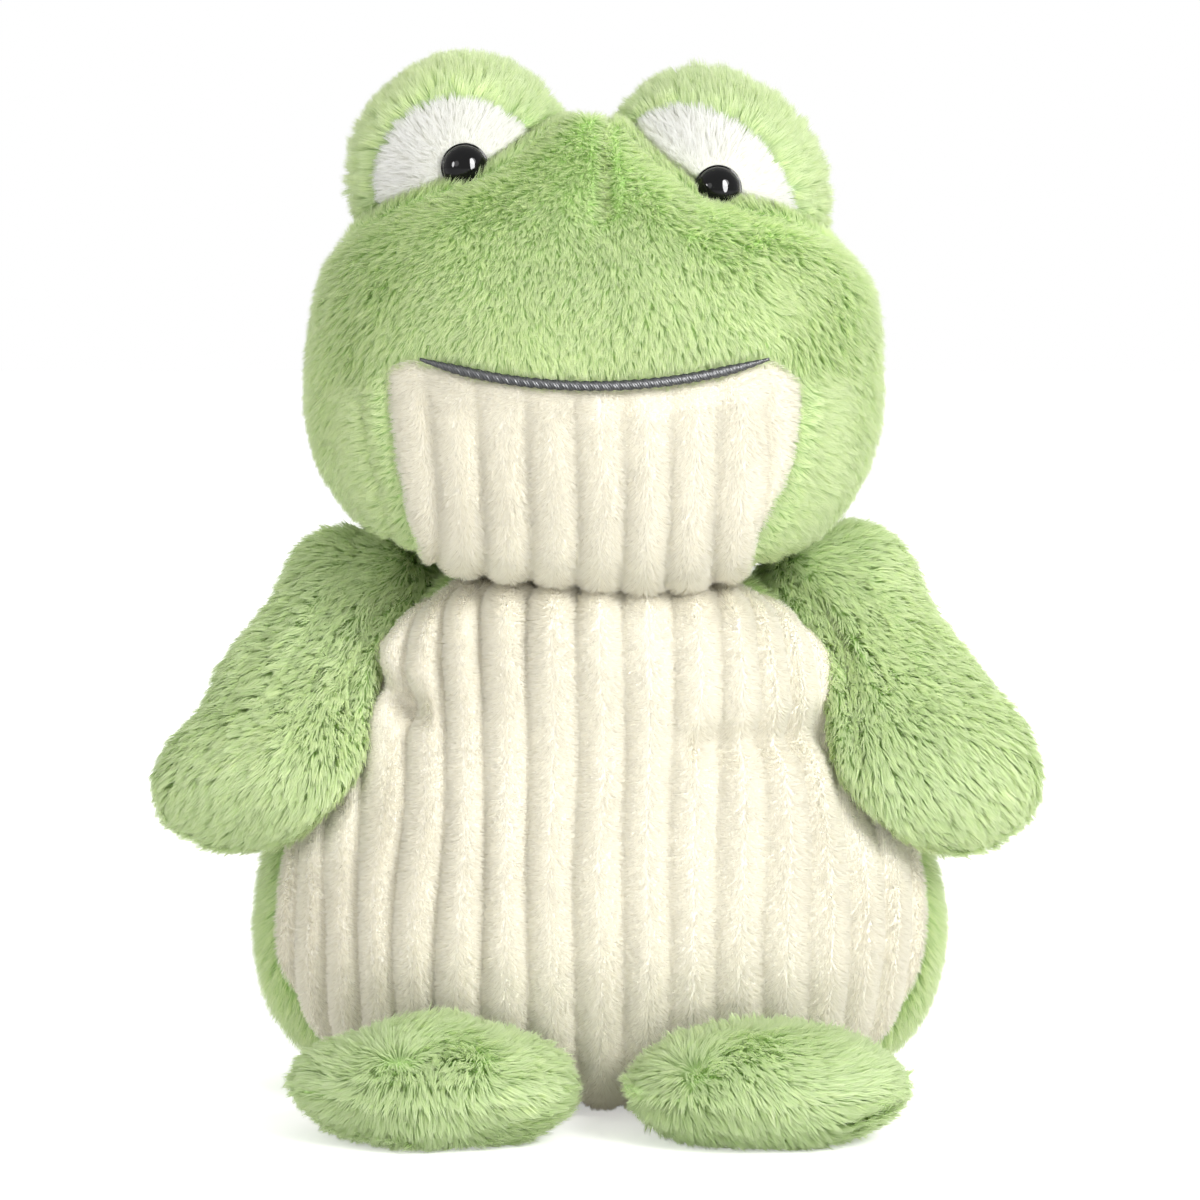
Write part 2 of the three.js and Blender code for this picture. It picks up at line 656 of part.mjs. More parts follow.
function makeEye(group, side) {
  const place = eyePlaces[side];
  const mound = mounds[side];
  const eyeWhite = eyeWhites[side];
  const { eyeY, washerY } = eyeDepths(side);
  const skinOfMound = ellipsoid(
    mound.x, moundMiddle.y, mound.z,
    mound.halfWidth, moundMiddle.halfDepth, mound.halfHeight, moundFacets, 0, mound.lean,
  );
  const cap = toSolid(skinOfMound).subtract(toSolid(grown(skinOfMound, -plush))).subtract(headClear);
  const panel = (gap) => {
    const shape = new THREE.Shape();
    shape.absellipse(
      eyeWhite.x, eyeWhite.z, eyeWhite.halfWidth + gap, eyeWhite.halfHeight + gap,
      0, Math.PI * 2, false, -THREE.MathUtils.degToRad(eyeWhite.lean),
    );
    return frontOutline(shape, -far, eyeWhiteBackY + gap, edgeFacets.eyeWhite);
  };
  const washerRoom = washerSolid(place, washerY, seamGap);
  const green = cap.subtract(panel(seamGap)).subtract(washerRoom);
  const white = cap.intersect(panel(0)).subtract(eyeSolid(place, eyeY, seamGap)).subtract(washerRoom);
  addMesh(group, `eye_mound_${side}`, green, 'green_plush');
  addMesh(group, `eye_white_${side}`, white, 'white_plush');
  addMesh(group, `eye_${side}`, eyeSolid(place, eyeY, 0), 'eye_plastic');
  const lockWasher = washerSolid(place, washerY, 0).subtract(eyeSolid(place, eyeY, seamGap));
  addMesh(group, `eye_washer_${side}`, lockWasher, 'washer_plastic');
  const core = toSolid(grown(skinOfMound, -plush - fillGap))
    .subtract(headClear)
    .subtract(eyeSolid(place, eyeY, seamGap))
    .subtract(washerRoom);
  addMesh(group, `eye_mound_stuffing_${side}`, core, 'fibre_fill');
}

// The directions of an arm: across its broad side, and through its thickness.
function armDirections(sign) {
  const turn = THREE.MathUtils.degToRad(armTurn);
  const broad = new THREE.Vector3(-sign * Math.cos(turn), -Math.sin(turn), 0);
  const hand = armRows[armRows.length - 1];
  const along = new THREE.Vector3(sign * hand.out, -hand.fore, -hand.down).normalize();
  return { broad, deep: new THREE.Vector3().crossVectors(broad, along).normalize() };
}

// An arm's form, inset by a depth: its length and its ball end, without the body's room.
function armForm(sign, inset) {
  const { broad, deep } = armDirections(sign);
  const whole = inset === 0;
  const thick = armRows.filter((row) => row.thick > 2 * plush);
  const tip = { ...armRows[thick.length], half: 0, thick: 0 };
  const rows = whole ? armRows : [
    ...thick.map((row) => ({ ...row, half: row.half - inset, thick: row.thick - inset })),
    tip,
  ];
  const centres = new THREE.CatmullRomCurve3(
    rows.map((row) => new THREE.Vector3(
      sign * (shoulder.x + row.out), shoulder.y - row.fore, shoulder.z - row.down,
    )),
    false, 'catmullrom', rowTension,
  );
  const halves = new THREE.CatmullRomCurve3(
    rows.map((row) => new THREE.Vector3(row.half, row.thick, 0)), false, 'catmullrom', rowTension,
  );
  const rings = [];
  const { steps, sides } = whole ? limbFacets.outer : limbFacets.inner;
  for (let step = 0; step < steps; step += 1) {
    const centre = centres.getPoint(step / steps);
    const half = halves.getPoint(step / steps);
    const ring = [];
    for (let side = 0; side < sides; side += 1) {
      const angle = (side / sides) * Math.PI * 2;
      ring.push(centre.clone()
        .addScaledVector(broad, half.x * Math.cos(angle))
        .addScaledVector(deep, half.y * Math.sin(angle)));
    }
    rings.push(ring);
  }
  const limb = toSolid(skin(rings, centres.getPoint(0), centres.getPoint(1)));
  const end = shoulderBall(sign, shoulder.radius - inset, whole ? undefined : insideFacets);
  return limb.subtract(bodyRoom(armRoom + inset)).add(end);
}

// The space on one side of the arm's seam, which runs down both edges of its broad side.
function seamSide(sign, deep, gap, towards) {
  const box = new THREE.BoxGeometry(far, far, far);
  box.translate(0, 0, towards * (far / 2 + gap));
  box.applyQuaternion(new THREE.Quaternion().setFromUnitVectors(new THREE.Vector3(0, 0, 1), deep));
  box.translate(sign * shoulder.x, shoulder.y, shoulder.z);
  return toSolid(box);
}

function makeArm(group, side) {
  const sign = sideNames[side];
  const { deep } = armDirections(sign);
  const towardsFront = deep.y < 0 ? 1 : -1;
  const cover = armForm(sign, 0).subtract(armForm(sign, plush));
  const half = (towards) => cover.intersect(seamSide(sign, deep, seamGap / 2, towards));
  addMesh(group, `arm_front_${side}`, half(towardsFront), 'green_plush');
  addMesh(group, `arm_back_${side}`, half(-towardsFront), 'green_plush');
  addMesh(group, `arm_stuffing_${side}`, armForm(sign, plush + fillGap), 'fibre_fill');
}

// The folded seam allowance in the armhole: a narrow zone of a sphere between body and arm.
function makeArmSeam(group, side) {
  const sign = sideNames[side];
  const nearer = sign * (shoulder.x - armSeam.from);
  const deeper = sign * (shoulder.x - armSeam.to);
  const zone = block(Math.min(nearer, deeper), Math.max(nearer, deeper), -far, far, -far, far);
  const ring = shoulderBall(sign, seamOuter).subtract(shoulderBall(sign, seamInner)).intersect(zone);
  addMesh(group, `arm_seam_${side}`, ring, 'green_plush');
}

function footForm(sign, inset) {
  const whole = inset === 0;
  const oval = ellipsoid(
    sign * foot.x, foot.y, foot.z,
    foot.halfWidth - inset, foot.halfDepth - inset, foot.halfHeight - inset,
    whole ? footFacets.outer : footFacets.inner, sign * foot.turn,
  );
  const front = toSolid(oval).subtract(bodyRoom(footRoom + inset));
  return front.add(heelRoll(sign, -inset)).intersect(block(-far, far, -far, far, inset, far));
}

function makeFoot(group, side) {
  const sign = sideNames[side];
  const cover = footForm(sign, 0).subtract(footForm(sign, plush));
  const top = block(-far, far, -far, far, foot.seamZ + seamGap / 2, far);
  const bottom = block(-far, far, -far, far, -far, foot.seamZ - seamGap / 2);
  addMesh(group, `foot_top_${side}`, cover.intersect(top), 'green_plush');
  addMesh(group, `foot_sole_${side}`, cover.intersect(bottom), 'green_plush');
  addMesh(group, `foot_stuffing_${side}`, footForm(sign, plush + fillGap), 'fibre_fill');
}

// The head's group turns about the neck, so the head leans as one.
function leaningHead() {
  const lean = new THREE.Group();
  lean.position.set(neck.x, neck.y, neck.z);
  lean.rotation.y = THREE.MathUtils.degToRad(headRoll);
  const head = new THREE.Group();
  head.position.set(0, -neck.y, -neck.z);
  makeHead(head);
  makeEye(head, 'left');
  makeEye(head, 'right');
  lean.add(head);
  return lean;
}

function makeFrog() {
  const frog = new THREE.Group();
  makeTorso(frog);
  makeNeck(frog);
  frog.add(leaningHead());
  for (const side of Object.keys(sideNames)) {
    makeArmSeam(frog, side);
    makeArm(frog, side);
    makeFoot(frog, side);
  }
  return frog;
}

export default makeFrog();
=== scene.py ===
"""A sitting plush frog, dressed round its fixed frame: covers, pile, eyes, mouth and filling.

Metres, +Z up, the face towards -Y. Left and right are the toy's own: its left side is +X.
"""

import json
import math
from collections import namedtuple

import bmesh
import bpy
import numpy as np
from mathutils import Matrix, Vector
from mathutils.bvhtree import BVHTree
from mathutils.kdtree import KDTree


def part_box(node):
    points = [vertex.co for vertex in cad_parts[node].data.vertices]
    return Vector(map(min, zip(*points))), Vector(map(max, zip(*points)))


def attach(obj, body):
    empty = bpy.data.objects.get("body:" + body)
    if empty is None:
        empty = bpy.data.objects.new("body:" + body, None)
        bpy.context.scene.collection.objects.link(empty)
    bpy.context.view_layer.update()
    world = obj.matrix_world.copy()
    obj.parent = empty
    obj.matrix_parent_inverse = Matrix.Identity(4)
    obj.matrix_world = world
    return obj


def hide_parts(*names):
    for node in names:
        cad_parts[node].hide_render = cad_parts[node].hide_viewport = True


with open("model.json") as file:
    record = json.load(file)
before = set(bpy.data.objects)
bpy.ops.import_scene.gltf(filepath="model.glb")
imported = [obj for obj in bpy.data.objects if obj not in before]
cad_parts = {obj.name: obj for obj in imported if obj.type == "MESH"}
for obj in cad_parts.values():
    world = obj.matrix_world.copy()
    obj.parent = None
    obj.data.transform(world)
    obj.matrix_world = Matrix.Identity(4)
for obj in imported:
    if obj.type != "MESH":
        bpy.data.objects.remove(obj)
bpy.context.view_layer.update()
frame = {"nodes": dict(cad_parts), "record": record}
behaviour = frame["record"]["behaviour"]

MM = 0.001
FAR = 0.4  # further out than any piece, where rays start
SIDES = {"left": 1, "right": -1}

# View: the camera looks a little down at the front
view_elevation = math.radians(6)
view_distance = 1.6
view_height = 134 * MM  # height of the point that it looks at
view_width = 329.8 * MM  # how much of the plane through that point the picture takes in
sensor_width = 36.0

# Studio: oval softboxes, by their place, width, height and power in watts
LAMPS = {
    "key": ((0.9, -1.2, 0.95), 0.8, 0.8, 23),
    "fill": ((-0.9, -1.2, 0.6), 0.6, 0.6, 3),
    "back": ((0.2, 1.1, 1.3), 0.9, 0.9, 7),
}
CATCHLIGHTS = {  # these show only in glossy surfaces, as the highlights of the eyes
    "catchlight_right": ((0.5, -0.8, 0.42), 0.36, 0.9, 42),
    "catchlight_left": ((-0.8, -0.62, 0.42), 0.2, 0.36, 7),
}
sky_on_surfaces = 0.78  # strength of the white sky as light
floor_reach = 3.0
floor_lift = 0.45  # added to what the floor shows directly, to bring it up to white

# Covers
backing = 1.2 * MM  # thickness of the knitted fabric that the pile stands on
touching = 10 * MM  # how near another cover is where the two press on each other
rib_pitch = 12.6 * MM
rib_roundness = 3.0  # how flat a rib is on top before it falls into the valley
belly_rib_depth = 3.4 * MM
chin_rib_depth = (0.8 * MM, 3.6 * MM)  # under the mouth, and at the throat where it is gathered
most_faces = 180_000  # in one piece of pile, before it is shared out over two

# Each kind of pile: its slot, strands per square metre, their length and width, how far they lean
# from upright in degrees, how far apart the tufts are, how much a tuft draws together, how much
# the strands stray from the way they are combed, how many stretches a strand has, how much paler
# (above 0) or darker than its slot's middle colour it is, and its share of length where pressed
pile_columns = "slot density length width lean tuft gather stray stretches tone pressed"
Pile = namedtuple("Pile", pile_columns, defaults=(1, 0, 0.45))
PILES = {
    "short": Pile("green_plush", 8.4e6, 4.8 * MM, 0.3 * MM, 50, 1.2 * MM, 0.32, 0.75),
    # The long pile of the arms and feet is toned darker, as painted shade.
    "long": Pile("green_plush", 5.8e6, 6.8 * MM, 0.31 * MM, 57, 1.4 * MM, 0.36, 0.5, 2, -0.25),
    "cream": Pile("cream_plush", 6.2e6, 2.4 * MM, 0.28 * MM, 44, 1.0 * MM, 0.12, 0.65),
    "white": Pile("white_plush", 9.0e6, 4.4 * MM, 0.26 * MM, 52, 1.2 * MM, 0.3, 0.7),
}

# Colours at the root, halfway and at the tip of a strand, as light as they show (sRGB). The darker
# root is painted shade deep in the pile and the paler tip is painted light on its top; the backing
# under the pile takes the root colour as painted shade.
COLOURS = {
    "green_plush": ((201, 229, 159), (235, 253, 198), (242, 254, 215)),
    "cream_plush": ((239, 235, 221), (245, 242, 230), (250, 247, 238)),
    "white_plush": ((236, 236, 228), (248, 248, 243), (253, 253, 250)),
}

# Creases in the stuffed covers, from one (x, z) of the front view to another
BELLY_CREASES = (
    ((0.072, 0.103), (0.028, 0.101)),
    ((-0.066, 0.118), (-0.050, 0.109)),
)
FOREHEAD_DART = ((0.0014, 0.269), (0.0014, 0.243))
# Where the pile of each foot parts
FOOT_WHORLS = {"left": (0.025, -0.100, 0.024), "right": (-0.052, -0.100, 0.024)}

# Other colours (sRGB)
CLOTHS = {"fibre_fill": (240, 238, 230), "pellet_cloth": (214, 208, 192)}
SATIN = (42, 44, 47)
EYE_BLACK = (8, 8, 9)
WASHER_WHITE = (233, 232, 226)
see_through = 0.52  # how much of a fibre's light comes through from behind


def linear(colour):
    """A colour's sRGB numbers, 0 to 255, as linear light with full alpha."""
    parts = [c / 255 for c in colour]
    light = [c / 12.92 if c <= 0.04045 else ((c + 0.055) / 1.055) ** 2.4 for c in parts]
    return (*light, 1.0)


def unit(vectors):
    """The same vectors at length one."""
    lengths = np.linalg.norm(vectors, axis=-1, keepdims=True)
    return vectors / np.maximum(lengths, 1e-12)


def smoothstep(low, high, values):
    """0 at low, 1 at high, and smooth between them."""
    share = np.clip((values - low) / (high - low), 0, 1)
    return share * share * (3 - 2 * share)


def turned_out(points, faces):
    """Each triangle's outward normal, at twice the length of its area."""
    corners = points[faces]
    return np.cross(corners[:, 1] - corners[:, 0], corners[:, 2] - corners[:, 0])


def flattened(vectors, normals):
    """Each vector's direction as it lies in the plane across a normal."""
    return unit(vectors - normals * (vectors * normals).sum(1)[:, None])


def waves(points, size, seed, count=16):
    """A smooth random field over points, mostly within -1 and 1, with bumps about size across."""
    rng = np.random.default_rng(seed)
    ways = unit(rng.normal(size=(count, 3)))
    lengths = 2 * size * rng.uniform(0.7, 1.5, count)
    turns = rng.uniform(0, 2 * math.pi, count)
    phases = points @ (ways * (2 * math.pi / lengths)[:, None]).T + turns
    return np.sin(phases).sum(1) / math.sqrt(count)


def icosphere(level):
    """Points on a unit sphere and the triangles between them."""
    ball = bmesh.new()
    bmesh.ops.create_icosphere(ball, subdivisions=level, radius=1)
    points = np.array([v.co for v in ball.verts])
    faces = np.array([[v.index for v in f.verts] for f in ball.faces])
    ball.free()
    return points, faces


def node_surface(names):
    """A search tree over the faces of some CAD nodes, and which node each face belongs to."""
    points, faces, owners = [], [], []
    for number, name in enumerate(names):
        mesh = frame["nodes"][name].data
        start = len(points)
        points.extend(v.co.copy() for v in mesh.vertices)
        for polygon in mesh.polygons:
            faces.append([start + i for i in polygon.vertices])
            owners.append(number)
    return BVHTree.FromPolygons(points, faces), np.array(owners)


def joined_box(names):
    """The lowest and highest corner of some CAD nodes together."""
    corners = [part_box(name) for name in names]
    low = np.min([np.array(c[0]) for c in corners], axis=0)
    high = np.max([np.array(c[1]) for c in corners], axis=0)
    return low, high


class Form:
    """A closed skin that is drawn in from all sides onto CAD nodes.

    Each of its points knows which cover it lies on. Points are bare where a limb or the neck
    fits into the form, and only filling lies behind.
    """

    def __init__(self, covers, filling, level, rounds):
        self.covers = covers
        names = covers + filling
        low, high = joined_box(names)
        self.centre = (low + high) / 2
        sphere, self.faces = icosphere(level)
        self.ways = unit(sphere * (high - low) / 2)
        pairs = np.sort(self.faces[:, [0, 1, 1, 2, 2, 0]].reshape(-1, 2), axis=1)
        self.edges = np.unique(pairs, axis=0)
        self.degree = np.bincount(self.edges.ravel(), minlength=len(sphere))
        self.draw_in(names)
        self.radius = self.smoothed(self.radius, rounds)
        self.points = self.centre + self.ways * self.radius[:, None]

    def draw_in(self, names):
        """Meets the nodes with rays from outside, and closes the slits between them."""
        tree, owners = node_surface(names)
        count = len(self.ways)
        starts = self.centre + self.ways * FAR
        self.radius = np.zeros(count)
        owner = np.zeros(count, int)
        for i in range(count):
            _, _, face, distance = tree.ray_cast(Vector(starts[i]), Vector(-self.ways[i]), FAR)
            if face is not None:
                self.radius[i] = FAR - distance
                owner[i] = owners[face]
        open_radius = self.radius.copy()
        self.radius = self.spread_extreme(self.radius, np.maximum, 2)
        self.radius = self.spread_extreme(self.radius, np.minimum, 2)
        inside = owner >= len(self.covers)
        slit = inside & (self.radius > open_radius + MM)
        self.bare = inside & ~slit
        self.owner = self.spread_owner(np.where(inside, -1, owner))

    def spread_extreme(self, values, pick, times):
        for _ in range(times):
            wider = values.copy()
            a, b = self.edges.T
            pick.at(wider, a, values[b])
            pick.at(wider, b, values[a])
            values = wider
        return values

    def spread_owner(self, owner):
        """Gives each point without a cover that of a neighbour, until all have one."""
        a, b = self.edges.T
        while (owner < 0).any():
            known = owner.copy()
            for here, there in ((a, b), (b, a)):
                take = (known[here] < 0) & (known[there] >= 0)
                owner[here[take]] = known[there[take]]
        return owner

    def smoothed(self, values, rounds):
        """Values over the skin's points, evened out with their neighbours'."""
        a, b = self.edges.T
        count = len(self.degree)
        for _ in range(rounds):
            total = np.bincount(a, values[b], count) + np.bincount(b, values[a], count)
            values = (values + total / self.degree) / 2
        return values

    def normals(self):
        turned = turned_out(self.points, self.faces)
        total = np.zeros_like(self.points)
        for corner in self.faces.T:
            for axis in range(3):
                total[:, axis] += np.bincount(corner, turned[:, axis], len(self.points))
        return unit(total)

    def push(self, distance):
        """Moves the skin outwards by a distance at each point."""
        self.points = self.points + self.normals() * np.asarray(distance)[..., None]

    def share_of(self, names, rounds):
        """How much each point belongs to some covers, running smoothly from 0 to 1 at a seam."""
        numbers = [self.covers.index(name) for name in names]
        return self.smoothed(np.isin(self.owner, numbers).astype(float), rounds)

    def seams(self, rounds):
        """1 along the seams between covers, falling to 0 beside them."""
        shares = [self.share_of([name], rounds) for name in self.covers]
        return np.clip(sum(2 * s * (1 - s) for s in shares), 0, 1)

    def room_beside(self, names):
        """How free each point is of some CAD nodes: 0 where it touches one, 1 further off."""
        tree, _ = node_surface(names)
        low, high = joined_box(names)
        nearby = (self.points > low - touching) & (self.points < high + touching)
        gaps = np.full(len(self.points), touching)
        for i in np.flatnonzero(nearby.all(1)):
            distance = tree.find_nearest(Vector(self.points[i]), touching)[3]
            if distance is not None:
                gaps[i] = distance
        return smoothstep(0, touching, gaps)

    def edge_of(self, name):
        """The points along the seam round one cover."""
        mine = self.owner == self.covers.index(name)
        a, b = self.edges[mine[self.edges[:, 0]] != mine[self.edges[:, 1]]].T
        return (self.points[a] + self.points[b]) / 2

    def cover_faces(self, name):
        owners = self.owner[self.faces]
        number = self.covers.index(name)
        middle = np.where(owners[:, 1] == owners[:, 2], owners[:, 1], owners[:, 0])
        return self.faces[middle == number]


def new_object(name, data):
    """A new object in the scene."""
    made = bpy.data.objects.new(name, data)
    bpy.context.scene.collection.objects.link(made)
    return made


def mesh_from(name, points, loops, starts):
    """A mesh object from its points, its faces' corners in a row and where each face starts."""
    mesh = bpy.data.meshes.new(name)
    mesh.vertices.add(len(points))
    mesh.vertices.foreach_set("co", np.asarray(points, np.float32).ravel())
    mesh.loops.add(len(loops))
    mesh.loops.foreach_set("vertex_index", np.asarray(loops, np.int32))
    mesh.polygons.add(len(starts))
    mesh.polygons.foreach_set("loop_start", np.asarray(starts, np.int32))
    mesh.polygons.foreach_set("use_smooth", np.ones(len(starts), bool))
    mesh.update(calc_edges=True)
    mesh.validate()
    return new_object(name, mesh)


def triangle_piece(name, points, faces):
    return mesh_from(name, points, faces.ravel(), np.arange(len(faces)) * 3)


def loft(name, rings, round_trip=False):
    """A closed skin through rings of points. The last ring meets the first one on a round trip,
    and otherwise each end closes to its middle."""
    rings = np.asarray(rings)
    count, sides, _ = rings.shape
    number = np.arange(count * sides).reshape(count, sides)
    points = rings.reshape(-1, 3)
    low = number if round_trip else number[:-1]
    high = np.roll(number, -1, axis=0) if round_trip else number[1:]
    quads = np.stack([low, np.roll(low, -1, axis=1), np.roll(high, -1, axis=1), high], axis=-1)
    quads = quads.reshape(-1, 4)
    faces = np.concatenate([quads[:, [0, 1, 2]], quads[:, [0, 2, 3]]])
    if not round_trip:
        ends = np.array([len(points), len(points) + 1])
        points = np.concatenate([points, rings[[0, -1]].mean(1)])
        first, last = number[0], number[-1]
        start = np.stack([np.roll(first, -1), first, np.full(sides, ends[0])], axis=1)
        finish = np.stack([last, np.roll(last, -1), np.full(sides, ends[1])], axis=1)
        faces = np.concatenate([faces, start, finish])
    a, b, c = (points[faces[:, corner]] for corner in range(3))
    if (a * np.cross(b, c)).sum() < 0:
        faces = faces[:, ::-1]
    return triangle_piece(name, points, faces)


def thick_sheet(name, points, normals, faces, thickness):
    """Faces of a skin as a closed sheet of fabric, with a rim round its edge."""
    used, at = np.unique(faces, return_inverse=True)
    faces = at.reshape(faces.shape)
    count = len(used)
    outer = points[used]
    both = np.concatenate([outer, outer - normals[used] * thickness])
    edges = faces[:, [0, 1, 1, 2, 2, 0]].reshape(-1, 2)
    keys = np.sort(edges, axis=1) @ np.array([count, 1])
    _, first, times = np.unique(keys, return_index=True, return_counts=True)
    rim = edges[first[times == 1]]
    a, b = rim.T
    inner = faces[:, ::-1] + count
    upper = np.stack([b, a, a + count], axis=1)
    lower = np.stack([b, a + count, b + count], axis=1)
    return triangle_piece(name, both, np.concatenate([faces, inner, upper, lower]))


def nodes_of(name):
    """A new material, its node tree and its shader."""
    material = bpy.data.materials.new(name)
    material.use_nodes = True
    tree = material.node_tree
    return material, tree, tree.nodes["Principled BSDF"]


def set_inputs(node, values):
    """Gives a node's inputs their values, or links them to the outputs of other nodes."""
    for name, value in values.items():
        if isinstance(value, bpy.types.NodeSocket):
            node.id_data.links.new(value, node.inputs[name])
        else:
            node.inputs[name].default_value = value


def new_node(tree, kind, values=None, **settings):
    """A new shader node with some of its settings and inputs."""
    node = tree.nodes.new("ShaderNode" + kind)
    for name, value in settings.items():
        setattr(node, name, value)
    set_inputs(node, values or {})
    return node


def ramp(tree, stops, factor):
    """A colour ramp with stops of (place, linear colour), read at a factor."""
    node = new_node(tree, "ValToRGB", {"Fac": factor})
    elements = node.color_ramp.elements
    while len(elements) < len(stops):
        elements.new(1)
    for element, (place, colour) in zip(elements, stops):
        element.position = place
        element.color = colour
    return node.outputs["Color"]


def roughen(shader, height, strength, distance):
    """Bump on a shader, from the height of a pattern."""
    values = {"Height": height, "Strength": strength, "Distance": distance}
    bump = new_node(shader.id_data, "Bump", values)
    set_inputs(shader, {"Normal": bump.outputs["Normal"]})


def tint(shader, colour, low, high, pattern):
    """Unevenness in a shader's colour, between two stops of (place in the pattern, factor)."""
    stops = [(place, toned(linear(colour), factor)) for place, factor in (low, high)]
    set_inputs(shader, {"Base Color": ramp(shader.id_data, stops, pattern)})


def toned(colour, factor):
    """A linear colour made darker or lighter."""
    return (*(min(1.0, c * factor) for c in colour[:3]), 1.0)


def pile_material(slot):
    """Fibres, dark at the root as painted shade deep in the pile and pale at the tip as painted
    light on its top, which also let light through.

    The map's u is a fibre's own shade, and its v runs along the fibre.
    """
    material, tree, shader = nodes_of(slot + "_pile")
    root, middle, tip = (linear(c) for c in COLOURS[slot])
    fibre_map = new_node(tree, "UVMap", uv_map="OFBake")
    parts = new_node(tree, "SeparateXYZ", {"Vector": fibre_map.outputs["UV"]})
    shade, along = parts.outputs["X"], parts.outputs["Y"]
    deep = 0.82 if slot == "green_plush" else 0.97
    # Both ramps run from painted shade at the root to painted light at the tip. Fibres mix between
    # them by their shade: at random, and towards the dark one for kinds that are toned darker as
    # painted shade.
    dark = [(0, toned(root, deep)), (0.5, toned(middle, deep)), (1, toned(tip, deep + 0.04))]
    light = [(0, root), (0.45, toned(middle, 1.1)), (1, toned(tip, 1.06))]
    colours = {"Factor": shade, 6: ramp(tree, dark, along), 7: ramp(tree, light, along)}
    mixed = new_node(tree, "Mix", colours, data_type="RGBA").outputs[2]
    set_inputs(shader, {"Base Color": mixed, "Roughness": 0.62, "Specular IOR Level": 0.2})
    glow = new_node(tree, "BsdfTranslucent", {"Color": mixed})
    lights = {"Fac": see_through, 1: shader.outputs["BSDF"], 2: glow.outputs["BSDF"]}
    both = new_node(tree, "MixShader", lights)
    set_inputs(tree.nodes["Material Output"], {"Surface": both.outputs["Shader"]})
    return material


def knit_material(name, colour, scale=900, depth=0.25):
    """Knitted backing: fine rows of loops in slightly uneven colour."""
    material, tree, shader = nodes_of(name)
    place = new_node(tree, "TexCoord").outputs["Object"]
    loops = {"Vector": place, "Scale": scale / 2, "Distortion": 3.0, "Detail Scale": 2.0}
    rows = new_node(tree, "TexWave", loops).outputs["Fac"]
    cloud = new_node(tree, "TexNoise", {"Vector": place, "Scale": scale, "Detail": 3.0})
    tint(shader, colour, (0.3, 0.82), (0.75, 1.08), cloud.outputs["Fac"])
    roughen(shader, rows, depth, 0.3 * MM)
    set_inputs(shader, {"Roughness": 0.9, "Specular IOR Level": 0.2})
    return material


def satin_material(name, colour):
    """Satin thread: fine slanting ribs with a soft sheen."""
    material, tree, shader = nodes_of(name)
    place = new_node(tree, "TexCoord").outputs["Object"]
    slant = new_node(tree, "Mapping", {"Vector": place, "Rotation": (0, math.radians(35), 0)})
    ribs_of_thread = {"Vector": slant.outputs["Vector"], "Scale": 520, "Distortion": 2.0}
    threads = new_node(tree, "TexWave", ribs_of_thread).outputs["Fac"]
    tint(shader, colour, (0.2, 0.55), (0.8, 1.35), threads)
    roughen(shader, threads, 0.4, 0.2 * MM)
    set_inputs(shader, {"Roughness": 0.45})
    return material


def plastic_material(name, colour, roughness, grain):
    """Moulded plastic with a faint grain in its skin."""
    material, tree, shader = nodes_of(name)
    place = new_node(tree, "TexCoord").outputs["Object"]
    cloud = new_node(tree, "TexNoise", {"Vector": place, "Scale": 700, "Detail": 2.0})
    tint(shader, colour, (0.3, 0.85), (0.7, 1.15), cloud.outputs["Fac"])
    roughen(shader, cloud.outputs["Fac"], grain, 0.05 * MM)
    set_inputs(shader, {"Roughness": roughness, "Specular IOR Level": 0.2})
    return material


def scatter(form, faces, density, rng):
    """Places spread evenly over faces of a form, the smooth normal at each, and a way to read
    there what is known at the form's points."""
    areas = np.linalg.norm(turned_out(form.points, faces), axis=1) / 2
    reach = np.cumsum(areas)
    count = int(reach[-1] * density)
    spots = (np.arange(count) + rng.uniform(0, 1, count)) / count * reach[-1]
    face = np.minimum(np.searchsorted(reach, spots), len(faces) - 1)
    a = rng.uniform(0, 1, count)
    b = rng.uniform(0, 1, count)
    over = a + b > 1
    a[over], b[over] = 1 - a[over], 1 - b[over]
    weights = np.stack([1 - a - b, a, b], axis=1)
    triangle = faces[face]

    def sample(field):
        return np.einsum("ij,ij...->i...", weights, field[triangle])

    return sample(form.points), unit(sample(form.normals())), sample


def point_tree(points):
    """A search tree over points."""
    tree = KDTree(len(points))
    for number, point in enumerate(points):
        tree.insert(point, number)
    tree.balance()
    return tree


def nearest(places, centres):
    """For each place, which centre is the nearest."""
    tree = point_tree(centres)
    return np.array([tree.find(place)[1] for place in places])


# How a strand is drawn, by how many stretches it has: its faces' corners in a row, wound for
# either side, where each face starts, and for each corner its place along and across the strand
STRAND_SHAPES = {
    1: {
        "up": [0, 1, 2], "down": [1, 0, 2], "starts": [0],
        "along": [0.01, 0.01, 0.99], "across": [-0.02, 0.02, 0],
    },
    2: {
        "up": [0, 1, 3, 2, 2, 3, 4], "down": [1, 0, 2, 3, 3, 2, 4], "starts": [0, 4],
        "along": [0.01, 0.01, 0.5, 0.5, 0.5, 0.5, 0.99],
        "across": [-0.02, 0.02, 0.02, -0.02, -0.02, 0.02, 0],
    },
}


